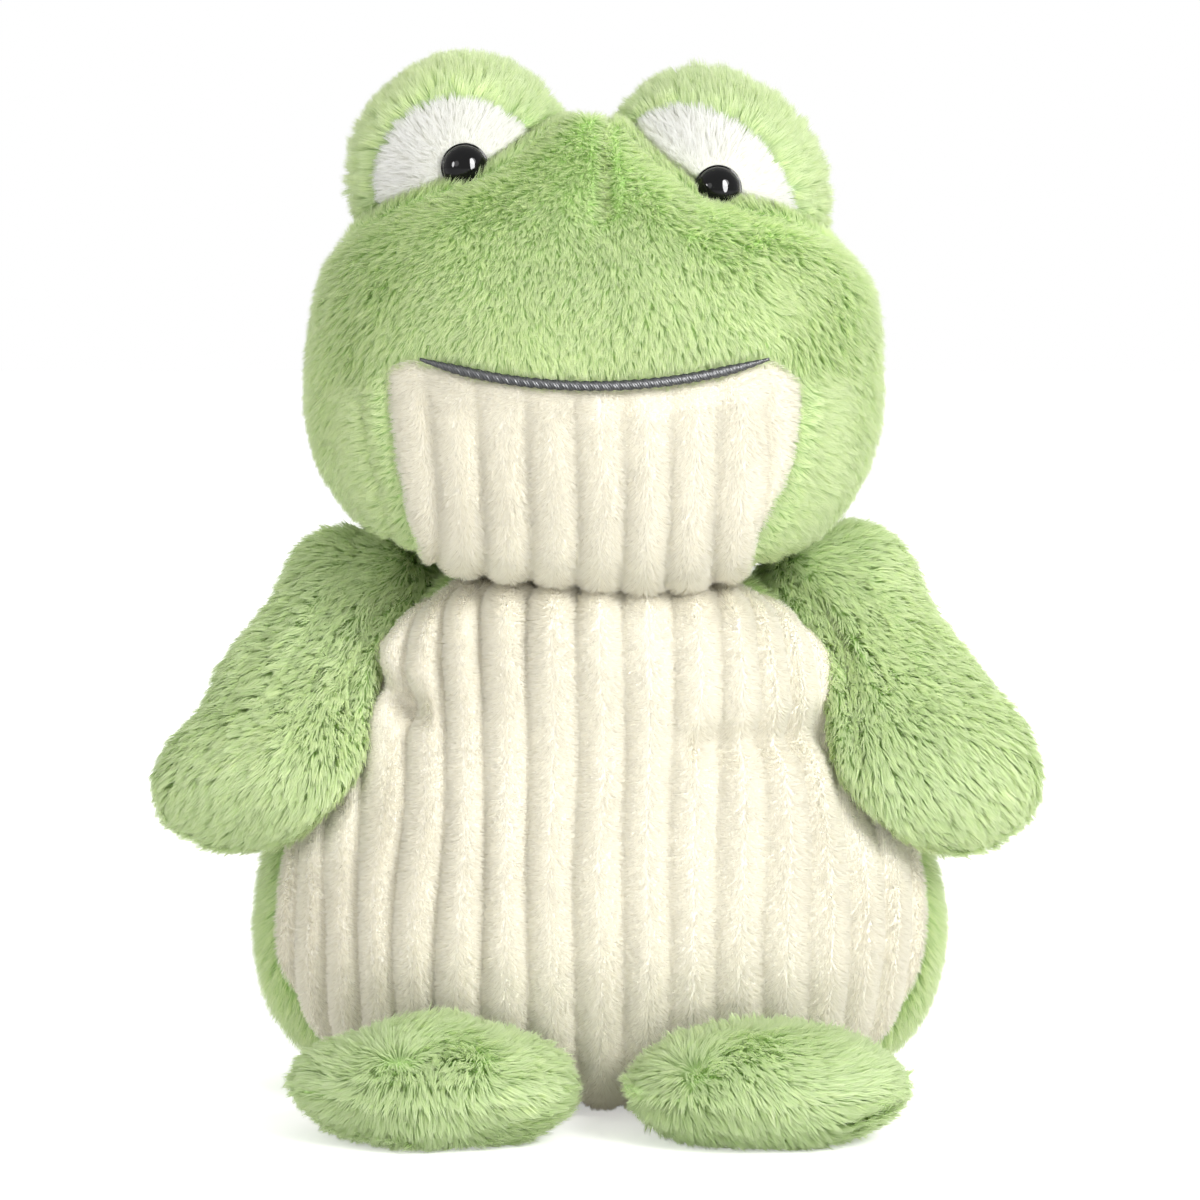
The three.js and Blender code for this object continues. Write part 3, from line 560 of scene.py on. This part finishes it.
def strand_piece(name, look, places, shading, turned, shade):
    """One mesh of strands from their points, smooth normals, winding and shades."""
    shape = STRAND_SHAPES[look.stretches]
    count, points, _ = places.shape
    corners = len(shape["up"])
    order = np.where(turned[:, None], shape["down"], shape["up"])
    loops = (np.arange(count)[:, None] * points + order).ravel()
    starts = (np.arange(count)[:, None] * corners + np.array(shape["starts"])).ravel()
    piece = mesh_from(name, places.reshape(-1, 3), loops, starts)
    u = shade[:, None] + np.array(shape["across"])
    v = np.array(shape["along"]) + np.zeros((count, 1))
    layer = piece.data.uv_layers.new(name="OFBake")
    layer.data.foreach_set("uv", np.stack([u, v], axis=-1).astype(np.float32).ravel())
    normal = piece.data.attributes.new("custom_normal", "FLOAT_VECTOR", "POINT")
    normal.data.foreach_set("vector", np.repeat(shading, points, axis=0).astype(np.float32).ravel())
    piece.data.materials.append(materials[look.slot + "_pile"])
    return piece


def strands(name, kind, form, faces, body, comb, seed, trim=None, **changes):
    """Pile on some faces of a form: tapering strands that lean one way and gather into tufts."""
    look = PILES[kind]._replace(**changes)
    rng = np.random.default_rng(seed)
    clothed = faces[~form.bare[faces].any(1)]
    roots, normals, sample = scatter(form, clothed, look.density, rng)
    count = len(roots)

    tufts = max(8, int(count / (look.density * look.tuft ** 2)))
    chosen = rng.choice(count, tufts, replace=False)
    tuft = nearest(roots, roots[chosen])

    ways = flattened(comb(roots, sample), normals)
    sideways = np.cross(normals, ways)
    stray = rng.normal(0, 0.18, count) + rng.normal(0, 0.3, tufts)[tuft]
    stray += 0.3 * waves(roots, 11 * MM, seed + 1)
    ways = unit(ways + sideways * stray[:, None] * look.stray)
    sideways = np.cross(normals, ways)

    angle = math.radians(look.lean)
    angle = angle * (1 + rng.normal(0, 0.1, count) + rng.normal(0, 0.14, tufts)[tuft])
    length = look.length * (1 + 0.1 * waves(roots, 16 * MM, seed + 2))
    length *= rng.uniform(0.84, 1.06, count) * rng.uniform(0.9, 1.1, tufts)[tuft]
    length *= look.pressed + (1 - look.pressed) * sample(form.room)
    if trim is not None:
        length *= trim(roots, sample)

    def along(turn):
        return ways * np.sin(turn)[:, None] + normals * np.cos(turn)[:, None]

    shift = 0.5 * (roots - roots[chosen][tuft])
    if look.stretches == 1:
        middles = None
        tips = roots + along(angle) * length[:, None]
    else:
        middles = roots + along(angle * 0.72) * length[:, None] / 2
        tips = middles + along(angle * 1.28) * length[:, None] / 2
        middles += 0.4 * look.gather * (middles[chosen][tuft] + 1.3 * shift - middles)
    tips += look.gather * (tips[chosen][tuft] + shift - tips)

    heading = unit(tips - roots)
    twist = rng.uniform(-0.7, 0.7, count)[:, None]
    flat = flattened(sideways, heading)
    flat = flat * np.cos(twist) + np.cross(heading, flat) * np.sin(twist)
    half_width = look.width * rng.uniform(0.75, 1.2, count)[:, None] / 2
    rows = [roots - flat * half_width, roots + flat * half_width]
    if middles is not None:
        rows += [middles - flat * half_width, middles + flat * half_width]
    places = np.stack([*rows, tips], axis=1)
    places[:, :, 2] = np.maximum(places[:, :, 2], 0.15 * MM)

    outward = unit(np.cross(flat, heading))
    turned = (outward * normals).sum(1) < 0
    outward[turned] *= -1
    shading = unit(normals + outward * 0.28)
    # A fibre's shade between the darker and the paler ramp: random, plus its kind's tone, which is
    # painted shade where it is below 0.
    shade = 0.5 + look.tone + rng.normal(0, 0.17, count) + rng.normal(0, 0.13, tufts)[tuft]
    shade = np.clip(shade + 0.1 * waves(roots, 30 * MM, seed + 3), 0.03, 0.97)

    pieces = math.ceil(count * (2 * look.stretches - 1) / most_faces)
    for number, mine in enumerate(np.array_split(np.arange(count), pieces)):
        piece = strand_piece(
            name if number == 0 else f"{name}_{number + 1}", look,
            places[mine], shading[mine], turned[mine], shade[mine],
        )
        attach(piece, body)


def dress_piece(piece, slot, body, stands_for=None):
    """Gives a piece its finish, the CAD node that it stands for and the body that it moves with."""
    piece.data.materials.append(materials[slot])
    if stands_for:
        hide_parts(stands_for)
    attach(piece, body)


def pile_height(kind):
    """How high a kind of pile stands over its fabric."""
    look = PILES[kind]
    return look.length * math.cos(math.radians(look.lean)) * 0.9


def inset_by_pile(form, kinds, beside):
    """Draws the skin in under the pile that stands on it, less where other covers press on it."""
    form.room = form.room_beside(beside)
    depth = sum(
        pile_height(kind) * form.share_of([name for name in form.covers if kinds[name] == kind], 6)
        for kind in sorted(set(kinds.values()))
    )
    form.push(-depth * (0.1 + 0.9 * form.room))


def ribs(places, depth):
    """How far the fabric lies below a rib's crest: broad ribs with narrow valleys between them."""
    across = places / rib_pitch - np.round(places / rib_pitch)
    return -depth * np.abs(2 * across) ** rib_roundness


def off_the_crest(across):
    """The way from a rib's crest to the nearer valley: -1 to 1, by the distance across the ribs."""
    return 2 * (across / rib_pitch - np.round(across / rib_pitch))


def parted(across):
    """How strongly a rib's pile is combed to either side of its crest."""
    off = off_the_crest(across)[:, None]
    return np.sign(off) * np.abs(off) ** 0.5


def arc_round(form, heights, turns):
    """The distance along the cloth from the middle of the front, at each of a form's points."""
    tree = BVHTree.FromPolygons(form.points.tolist(), form.faces.tolist())
    grid = np.zeros((len(heights), len(turns), 2))
    for row, height in enumerate(heights):
        for column, turn in enumerate(turns):
            way = Vector((math.sin(turn), -math.cos(turn), 0))
            hit = tree.ray_cast(Vector((form.centre[0], form.centre[1], height)), way)[0]
            grid[row, column] = (hit.x, hit.y) if hit else grid[row, column - 1]
    steps = np.linalg.norm(np.diff(grid, axis=1), axis=2)
    arcs = np.concatenate([np.zeros((len(heights), 1)), np.cumsum(steps, axis=1)], axis=1)
    offset = form.points - form.centre
    turn = np.abs(np.arctan2(offset[:, 0], -offset[:, 1]))
    rows = np.interp(form.points[:, 2], heights, np.arange(len(heights)))
    columns = np.interp(turn, turns, np.arange(len(turns)))
    low_row, low_column = rows.astype(int), columns.astype(int)
    high_row = np.minimum(low_row + 1, len(heights) - 1)
    high_column = np.minimum(low_column + 1, len(turns) - 1)
    up, on = rows - low_row, columns - low_column
    low = arcs[low_row, low_column] * (1 - on) + arcs[low_row, high_column] * on
    high = arcs[high_row, low_column] * (1 - on) + arcs[high_row, high_column] * on
    return (low * (1 - up) + high * up) * np.sign(offset[:, 0])


def dress(form, body, kinds):
    """The covers of a form, as closed sheets of fabric that move with one body."""
    for name in form.covers:
        faces = form.cover_faces(name)
        sheet = thick_sheet(name + "_cover", form.points, form.normals(), faces, backing)
        dress_piece(sheet, PILES[kinds[name]].slot, body, name)


def grow_pile(form, body, names, kinds, comb, seed, **look):
    """Pile on some covers of a form, all combed by one rule."""
    for number, name in enumerate(names):
        faces = form.cover_faces(name)
        strands(name + "_pile", kinds[name], form, faces, body, comb, seed + 10 * number, **look)


def sides_of(*names):
    """CAD nodes that come in a left and a right one."""
    return [f"{name}_{side}" for name in names for side in SIDES]


def bell(off, width):
    """1 in the middle, falling to 0 beyond a width on both sides."""
    return np.exp(-((off / width) ** 2))


def crease(form, start, end, width, depth):
    """A dent along a line in the front view, from one (x, z) to another, that fades at its ends."""
    flat = form.points[:, [0, 2]]
    start, line = np.array(start), np.array(end) - np.array(start)
    share = np.clip((flat - start) @ line / (line @ line), 0, 1)
    off = np.linalg.norm(flat - (start + share[:, None] * line), axis=1)
    form.push(-depth * bell(off, width) * smoothstep(0, -20 * MM, form.points[:, 1]))


def make_body():
    """The stuffed body: green back and base covers, and the ribbed belly."""
    kinds = {
        "belly_panel": "cream",
        "body_back_left": "short",
        "body_back_right": "short",
        "base_panel": "short",
    }
    form = Form(list(kinds), ["body_stuffing", "neck_stuffing"], 7, 40)
    beside = ["head_front", "chin_panel"] + sides_of("arm_front", "arm_back", "foot_top")
    inset_by_pile(form, kinds, beside)

    # The belly is drawn forward and up under the chin, as far as the chin lets it
    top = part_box("chin_panel")[0].z
    under_chin = smoothstep(top - 50 * MM, top - 6 * MM, form.points[:, 2])[:, None]
    in_front = smoothstep(0, -25 * MM, form.points[:, 1])[:, None]
    form.points += under_chin * (in_front * [0, -14 * MM, 0] + np.array([0, 0, 9 * MM]))
    form.points[:, 2] = np.minimum(form.points[:, 2], top + 1 * MM)
    form.push(0.9 * MM * waves(form.points, 24 * MM, 11))

    # The ribs run up the cloth a little unevenly, and are worn flatter on its left
    across = arc_round(form, np.linspace(6 * MM, top - 1 * MM, 60), np.linspace(0, 2.3, 90))
    across += 1.1 * MM * waves(form.points, 26 * MM, 12)
    cream = form.share_of(["belly_panel"], 3)
    unevenness = 1 + 0.25 * waves(form.points, 20 * MM, 13)
    unevenness *= 1 - 0.5 * smoothstep(-40 * MM, 30 * MM, form.points[:, 0])
    form.push(ribs(across, belly_rib_depth * unevenness) * cream - 1.5 * MM * form.seams(8))
    for start, end in BELLY_CREASES:
        crease(form, start, end, 5 * MM, 4 * MM)
    form.points[:, 2] = np.maximum(form.points[:, 2], 0.4 * MM)
    dress(form, "torso", kinds)

    def comb_belly(places, sample):
        round_about = np.cross([0, 0, 1], sample(form.normals()))
        return round_about * parted(sample(across)) - np.array([0, 0, 0.35])

    def trim_valleys(places, sample):
        return 1 - 0.35 * np.abs(off_the_crest(sample(across))) ** 3

    def comb_back(places, sample):
        return np.array([0, 0, -1]) + places * np.array([2, 2, 0])

    grow_pile(form, "torso", ["belly_panel"], kinds, comb_belly, 100, trim=trim_valleys)
    backs = sides_of("body_back")
    grow_pile(form, "torso", backs, kinds, comb_back, 120, density=4.6e6, length=6 * MM)


def make_head():
    """The stuffed head: the green face and back covers, and the ribbed chin."""
    kinds = {
        "chin_panel": "cream",
        "head_front": "short",
        "head_back_left": "short",
        "head_back_right": "short",
    }
    form = Form(list(kinds), ["head_stuffing"], 7, 30)
    inset_by_pile(form, kinds, sides_of("eye_mound", "eye_white", "arm_front") + ["belly_panel"])

    # The chin's ribs grow from the mouth down to the throat, where it is gathered
    cream = form.share_of(["chin_panel"], 3)
    height = form.points[:, 2]
    chin_low, chin_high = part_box("chin_panel")
    gathered = smoothstep(chin_high.z - 5 * MM, chin_low.z + 12 * MM, height)
    form.push(3.5 * MM * gathered * cream)
    rib_depth = chin_rib_depth[0] + (chin_rib_depth[1] - chin_rib_depth[0]) * gathered
    across = form.points[:, 0] + 0.7 * MM * waves(form.points, 30 * MM, 21)
    form.push(ribs(across, rib_depth) * cream - 1.5 * MM * form.seams(8))

    # Beside the chin the green cover rises along the seam, with a fold outside it on the right
    chin_edge = point_tree(form.edge_of("chin_panel"))
    away = np.full(len(form.points), 30 * MM)
    for i in np.flatnonzero((form.points[:, 1] < 0) & (height < chin_high.z + 30 * MM)):
        away[i] = min(away[i], chin_edge.find(form.points[i])[2])
    beside_chin = smoothstep(chin_high.z - 1 * MM, chin_high.z - 12 * MM, height) * (1 - cream)
    ridge = bell(away - 3.5 * MM, 2.8 * MM) * 1.3 * MM
    fold = bell(away - 7 * MM, 2 * MM) * 1 * MM * (form.points[:, 0] < 0)
    form.push((ridge - fold) * beside_chin)
    form.push(0.8 * MM * waves(form.points, 28 * MM, 22))
    crease(form, *FOREHEAD_DART, 2 * MM, 2.2 * MM)
    eye_low, eye_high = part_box("eye_left")
    under_eye = ((eye_low.x, eye_low.z + 2 * MM), (eye_high.x, eye_low.z - 4 * MM))
    crease(form, *under_eye, 7 * MM, 3 * MM)
    dress(form, "head", kinds)

    mouth_low, mouth_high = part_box("mouth_piping")
    ends = [np.array([x, mouth_low.y, mouth_high.z]) for x in (mouth_low.x, mouth_high.x)]

    def comb_face(places, sample):
        """Down, but to the mouth's corners from the sides, away from the chin's seam beside it,
        and up where the brow presses on the eyes."""
        height = places[:, 2]
        front = smoothstep(20 * MM, -30 * MM, places[:, 1])[:, None]
        corner = np.where(places[:, :1] < 0, ends[0], ends[1])
        aside = smoothstep(30 * MM, 70 * MM, np.abs(places[:, 0]))[:, None]
        over_mouth = smoothstep(mouth_low.z - 8 * MM, mouth_high.z + 18 * MM, height)[:, None]
        to_corner = unit(corner - places) * np.array([1, 0, 1]) * aside * over_mouth
        ways = to_corner * front * 1.6 + np.array([0, 0, -0.8])
        seam = np.array([chin_edge.find(place)[0] for place in places])
        to_seam = unit(seam - places)
        close = (sample(beside_chin) * smoothstep(27 * MM, 8 * MM, sample(away)))[:, None]
        above = smoothstep(mouth_high.z + 20 * MM, mouth_high.z + 30 * MM, height)
        brow = (1 - sample(form.room)) * above
        ways = ways * (1 - close) - (to_seam + np.array([0, 0, 0.4])) * 1.3 * close
        return ways + np.array([0, -0.3, 2.2]) * brow[:, None]

    def comb_chin(places, sample):
        outwards = np.sign(places[:, :1]) * smoothstep(10 * MM, 4 * MM, sample(away))[:, None]
        sideways = 0.6 * parted(sample(across)) + 1.5 * outwards
        return sideways * np.array([1.0, 0, 0]) - np.array([0, 0, 0.4])

    def trim_face(places, sample):
        low = smoothstep(chin_high.z + 5 * MM, chin_high.z + 1 * MM, places[:, 2])
        return 1 - 0.3 * low * smoothstep(6 * MM, 2 * MM, sample(away))

    grow_pile(form, "head", ["chin_panel"], kinds, comb_chin, 200)
    grow_pile(form, "head", ["head_front"], kinds, comb_face, 220, trim=trim_face, pressed=0.85)
    grow_pile(form, "head", sides_of("head_back"), kinds, comb_face, 230, density=5.5e6)


def make_mound(side):
    """One eye's mound, with the pile of both its covers combed away from the eye."""
    kinds = {f"eye_mound_{side}": "short", f"eye_white_{side}": "white"}
    form = Form(list(kinds), [f"eye_mound_stuffing_{side}"], 6, 12)
    inset_by_pile(form, kinds, ["head_front"] + sides_of("head_back"))
    form.push(-1 * MM * form.seams(4))
    dress(form, "head", kinds)
    low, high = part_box(f"eye_{side}")
    eye = np.array([(low.x + high.x) / 2, low.y + 6 * MM, (low.z + high.z) / 2])

    def comb(places, sample):
        return (places - eye) * np.array([1, 0.4, 1]) + np.array([0, 0, 4 * MM])

    def trim(places, sample):
        off = np.linalg.norm((places - eye)[:, [0, 2]], axis=1)
        return 0.25 + 0.75 * smoothstep(5 * MM, 11 * MM, off)

    seed = 300 if side == "left" else 340
    grow_pile(form, "head", [f"eye_mound_{side}"], kinds, comb, seed, length=6 * MM, tuft=1.7 * MM)
    grow_pile(form, "head", [f"eye_white_{side}"], kinds, comb, seed + 20, trim=trim)


def make_arm(side):
    """One arm, fuller at the shoulder's outside and in the hand, combed down from the neck."""
    sign = SIDES[side]
    kinds = {f"arm_front_{side}": "long", f"arm_back_{side}": "long"}
    form = Form(list(kinds), [f"arm_stuffing_{side}"], 6, 12)
    inset_by_pile(form, kinds, ["belly_panel", f"body_back_{side}", "head_front"])
    shoulder = centre_of_joint(f"arm_{side}_swing")
    upper = smoothstep(shoulder[2] - 30 * MM, shoulder[2] + 17 * MM, form.points[:, 2])
    outer = np.clip(form.normals() @ unit(np.array([sign * 0.8, -0.2, 0.6])), 0, 1)
    form.push(4 * MM * upper * outer * form.room)
    broad = smoothstep(shoulder[2] - 56 * MM, shoulder[2] - 30 * MM, form.points[:, 2])
    form.push(4.5 * MM * broad * np.abs(form.normals()[:, 0]))
    form.push(0.9 * MM * waves(form.points, 20 * MM, 31 + sign))
    dress(form, f"arm_{side}", kinds)
    top = shoulder + np.array([-sign * 36, -12, 24]) * MM

    def comb(places, sample):
        over_edge = smoothstep(30 * MM, 0, sign * (places[:, 0] - shoulder[0]))[:, None]
        return unit(places - top) - np.array([sign * 0.5, 0, 0]) * over_edge

    seed = 400 if side == "left" else 440
    grow_pile(form, f"arm_{side}", list(kinds), kinds, comb, seed)


def make_foot(side):
    """One foot, with tousled pile that parts at a whorl."""
    kinds = {f"foot_top_{side}": "long", f"foot_sole_{side}": "long"}
    form = Form(list(kinds), [f"foot_stuffing_{side}"], 6, 8)
    inset_by_pile(form, kinds, ["belly_panel", "base_panel"])
    form.push(0.9 * MM * waves(form.points, 18 * MM, 41))
    form.points[:, 2] = np.maximum(form.points[:, 2], 0.4 * MM)
    dress(form, f"foot_{side}", kinds)
    whorl = np.array(FOOT_WHORLS[side])

    def comb(places, sample):
        swirl = np.stack([waves(places, 16 * MM, seed) for seed in (42, 43, 44)], axis=1)
        return 0.8 * unit(places - whorl) + 0.9 * swirl - np.array([0, 0, 0.3])

    seed = 500 if side == "left" else 540
    # The feet's pile is toned darker still, as painted shade.
    grow_pile(form, f"foot_{side}", list(kinds), kinds, comb, seed, length=6.4 * MM, tone=-0.45)


def make_neck():
    """The plush that closes the neck between head and body, cream in front and green behind."""
    form = Form(["neck_stuffing"], [], 5, 2)
    form.push(-0.2 * MM)
    form.room = np.ones(len(form.points))
    middle = form.points[form.faces].mean(1)
    low_band = middle[:, 2] < form.centre[2] + 14 * MM
    for name, kind, chosen in (
        ("neck_cover_front", "cream", middle[:, 1] < form.centre[1]),
        ("neck_cover_back", "short", middle[:, 1] >= form.centre[1]),
    ):
        faces = form.faces[chosen & low_band]
        sheet = thick_sheet(name, form.points, form.normals(), faces, backing)
        dress_piece(sheet, PILES[kind].slot, "neck")
        strands(
            name + "_pile", kind, form, faces, "neck",
            lambda places, sample: np.array([0, 0, -1.0]) + np.zeros_like(places), 600,
        )


def centre_of_joint(name):
    """Where a joint's axis passes."""
    joints = behaviour["joints"]
    return np.array(next(joint["pos_m"] for joint in joints if joint["name"] == name))


def make_arm_seam(side):
    """The folded seam allowance in an armhole, a narrow zone of a sphere round the shoulder."""
    sign = SIDES[side]
    centre = centre_of_joint(f"arm_{side}_swing")
    low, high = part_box(f"arm_seam_{side}")
    near, far = sorted(abs(x - centre[0]) for x in (low.x, high.x))
    mean_radius = math.hypot((high.z - low.z) / 2, near) - 3.6 * MM
    tilts = [math.acos(d / mean_radius) for d in (far, near)]
    rings = []
    steps, corners = 120, 12
    for step in range(steps):
        turn = 2 * math.pi * step / steps
        ring = []
        for corner in range(corners):
            angle = 2 * math.pi * corner / corners
            tilt = (tilts[0] + tilts[1]) / 2 + (tilts[1] - tilts[0]) * 0.47 * math.cos(angle)
            radius = mean_radius + (0.5 + 0.1 * math.sin(40 * turn)) * MM * math.sin(angle)
            ring.append(centre + radius * np.array([
                -sign * math.cos(tilt),
                math.sin(tilt) * math.cos(turn),
                math.sin(tilt) * math.sin(turn),
            ]))
        rings.append(ring)
    fold = loft(f"arm_seam_{side}_fold", rings, round_trip=True)
    dress_piece(fold, "green_plush", f"shoulder_{side}", f"arm_seam_{side}")


def middle_line(name):
    """The middle of a CAD tube that runs across the front, section by section."""
    corners = np.array([v.co for v in frame["nodes"][name].data.vertices])
    corners = np.unique(np.round(corners, 6), axis=0)
    splits = np.flatnonzero(np.diff(corners[:, 0]) > 1 * MM) + 1
    return np.array([part.mean(0) for part in np.split(corners, splits)])


def rounded(line, times):
    """The same line with its corners cut until it is smooth."""
    for _ in range(times):
        near, far = (share * line[:-1] + (1 - share) * line[1:] for share in (0.75, 0.25))
        cut = np.stack([near, far], axis=1)
        line = np.concatenate([line[:1], cut.reshape(-1, 3), line[-1:]])
    return line


def make_mouth():
    """A twisted satin cord along the mouth line, drawn to a point at both ends."""
    line = rounded(middle_line("mouth_piping"), 5)
    along = np.linspace(0, 1, len(line))
    ahead = unit(np.gradient(line, axis=0))
    out = unit(np.cross(ahead, [0, 0, 1.0]))
    up = np.cross(out, ahead)
    taper = 0.3 + 0.7 * smoothstep(0, 0.16, along) * smoothstep(1, 0.84, along)
    reach = np.concatenate([[0], np.cumsum(np.linalg.norm(np.diff(line, axis=0), axis=1))])
    corners = np.arange(16) * 2 * math.pi / 16
    strands_in_cord, turn_length = 3, 2.6 * MM
    turned = 2 * math.pi * reach[:, None] / turn_length
    twist = np.sin(strands_in_cord * corners[None, :] + turned)
    radius = 1.3 * MM * taper[:, None] * (1 + 0.09 * twist)
    rings = (
        line[:, None] + up[:, None] * (radius * np.sin(corners))[..., None]
        + out[:, None] * (0.85 * radius * np.cos(corners))[..., None]
    )
    cord = loft("mouth_cord", rings)
    dress_piece(cord, "mouth_satin", "head", "mouth_piping")


def turned_piece(name, centre, profile, sides):
    """A piece turned about an axis that runs from front to back, from (radius, depth) points."""
    angles = np.arange(sides) * 2 * math.pi / sides
    circle = np.stack([np.cos(angles), np.zeros(sides), np.sin(angles)], axis=1)
    rings = [centre + circle * radius + np.array([0, depth, 0]) for radius, depth in profile]
    return loft(name, rings)


def make_eye(side):
    """A moulded safety eye: a glossy dome with a thin rim, on a ribbed shank."""
    low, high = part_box(f"eye_{side}")
    rim = (high.x - low.x) / 2
    dome, bulge = rim - 0.4 * MM, 4.8 * MM
    centre = np.array([(low.x + high.x) / 2, low.y + bulge, (low.z + high.z) / 2])
    turns = np.linspace(0.04, math.pi / 2, 28)
    profile = [(dome * math.sin(turn), -bulge * math.cos(turn)) for turn in turns]
    flange = ((0.3, 0), (0.08, 0.06), (0, 0.2), (0, 0.6), (0.1, 0.78))
    profile += [(rim - d * MM, y * MM) for d, y in flange]
    shank, groove = 2.1 * MM, 1.8 * MM
    profile += [(shank + 0.3 * MM, 0.8 * MM), (shank, 0.82 * MM)]
    end = high.y - centre[1]
    for start in np.arange(1.6 * MM, end - 1.2 * MM, 1.2 * MM):
        steps = ((shank, 0), (shank, 0.5), (groove, 0.65), (groove, 1.05))
        profile += [(radius, start + step * MM) for radius, step in steps]
    profile += [(shank, end - 0.4 * MM), (shank * 0.6, end - 0.1 * MM), (0.1 * MM, end)]
    eye = turned_piece(f"eye_{side}_dome", centre, profile, 64)
    dress_piece(eye, "eye_plastic", "head", f"eye_{side}")


def make_washer(side):
    """The toothed lock washer that holds an eye from behind its cover."""
    low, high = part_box(f"eye_washer_{side}")
    centre = np.array([(c + d) / 2 for c, d in zip(low, high)])
    outer, half = (high.x - low.x) / 2, (high.y - low.y) / 2
    steps, teeth = 96, 8
    rings = []
    for step in range(steps):
        turn = 2 * math.pi * step / steps
        gap = 1.4 * MM if (step * teeth // steps + step * teeth * 3 // steps) % 3 == 0 else 0
        bore = 2.6 * MM + gap
        way = np.array([math.cos(turn), 0, math.sin(turn)])
        section = ((bore, -half), (outer - 0.3 * MM, -half), (outer, -half * 0.6),
                   (outer, half * 0.6), (outer - 0.3 * MM, half), (bore, half))
        rings.append([centre + way * radius + np.array([0, depth, 0]) for radius, depth in section])
    washer = loft(f"eye_washer_{side}_ring", rings, round_trip=True)
    dress_piece(washer, "washer_plastic", "head", f"eye_washer_{side}")


def make_filling():
    """The stuffed cores inside the covers, the neck and the pellet bag, each as it is packed."""
    pairs = sides_of("eye_mound_stuffing", "arm_stuffing", "foot_stuffing")
    for name in pairs + ["body_stuffing", "head_stuffing", "neck_stuffing"]:
        fill_node(name, "fibre_fill")
    fill_node("pellet_bag", "pellet_cloth")


def fill_node(name, slot):
    """One filled core, slightly uneven and a little smaller than its CAD node."""
    form = Form([name], [], 5, 2)
    form.push(0.25 * MM * waves(form.points, 5 * MM, 7) - 0.5 * MM)
    piece = triangle_piece(name + "_fill", form.points, form.faces)
    body = next(body for body, nodes in behaviour["bodies"].items() if name in nodes)
    dress_piece(piece, slot, body, name)


def make_camera():
    """A camera that takes in the view's width, a little above the toy's middle."""
    camera = new_object("camera", bpy.data.cameras.new("camera"))
    camera.data.lens = sensor_width * view_distance / view_width
    camera.data.sensor_width = sensor_width
    camera.data.clip_end = 20
    away = Vector((0, -math.cos(view_elevation), math.sin(view_elevation)))
    camera.location = Vector((0, 0, view_height)) + away * view_distance
    camera.rotation_euler = (math.pi / 2 - view_elevation, 0, 0)
    bpy.context.scene.camera = camera


def area_light(name, place, width, height, power):
    """An oval softbox that faces the toy's middle."""
    lamp = bpy.data.lights.new(name, "AREA")
    lamp.shape = "ELLIPSE"
    lamp.size = width
    lamp.size_y = height
    lamp.energy = power
    light = new_object(name, lamp)
    light.location = place
    ahead = Vector((0, 0, view_height)) - light.location
    light.rotation_euler = ahead.to_track_quat("-Z", "Y").to_euler()
    return light


def seen_directly(tree):
    """1 for what the camera, a mirror or glass sees straight away, 0 for light on surfaces."""
    path = new_node(tree, "LightPath")
    total = path.outputs["Is Camera Ray"]
    for output in ("Is Glossy Ray", "Is Transmission Ray"):
        both = {0: total, 1: path.outputs[output]}
        total = new_node(tree, "Math", both, operation="MAXIMUM").outputs[0]
    return total


def make_studio():
    """A white studio with soft lamps, and a floor that fades into the background."""
    world = bpy.data.worlds.new("studio")
    bpy.context.scene.world = world
    world.use_nodes = True
    tree = world.node_tree
    levels = {"Value": seen_directly(tree), "To Min": sky_on_surfaces, "To Max": 1.0}
    strength = new_node(tree, "MapRange", levels).outputs["Result"]
    set_inputs(tree.nodes["Background"], {"Color": (1, 1, 1, 1), "Strength": strength})

    for name, lamp in LAMPS.items():
        area_light(name, *lamp)
    for name, lamp in CATCHLIGHTS.items():
        light = area_light(name, *lamp)
        light.visible_diffuse = light.visible_camera = False

    corners = np.array([[-1, -1, 0], [1, -1, 0], [1, 1, 0], [-1, 1, 0]]) * floor_reach
    floor = mesh_from("floor", corners, [0, 1, 2, 3], [0])
    material, tree, shader = nodes_of("floor")
    lift = new_node(tree, "Math", {0: seen_directly(tree), 1: floor_lift}, operation="MULTIPLY")
    set_inputs(shader, {
        "Base Color": (0.9, 0.9, 0.9, 1), "Roughness": 0.9, "Specular IOR Level": 0.0,
        "Emission Color": (1, 1, 1, 1), "Emission Strength": lift.outputs[0],
    })
    floor.data.materials.append(material)
    bpy.context.scene.view_settings.view_transform = "Standard"


materials = {
    "mouth_satin": satin_material("mouth_satin", SATIN),
    "eye_plastic": plastic_material("eye_plastic", EYE_BLACK, 0.05, 0.0),
    "washer_plastic": plastic_material("washer_plastic", WASHER_WHITE, 0.5, 0.3),
}
for slot_name, colours in COLOURS.items():
    # The backing takes the root colour: painted shade under the pile.
    materials[slot_name] = knit_material(slot_name + "_backing", colours[0])
    materials[slot_name + "_pile"] = pile_material(slot_name)
for slot_name, grey in CLOTHS.items():
    materials[slot_name] = knit_material(slot_name, grey, scale=500, depth=0.5)

make_camera()
make_studio()
make_body()
make_head()
make_neck()
make_mouth()
for side_name in SIDES:
    make_mound(side_name)
    make_eye(side_name)
    make_washer(side_name)
    make_arm_seam(side_name)
    make_arm(side_name)
    make_foot(side_name)
make_filling()
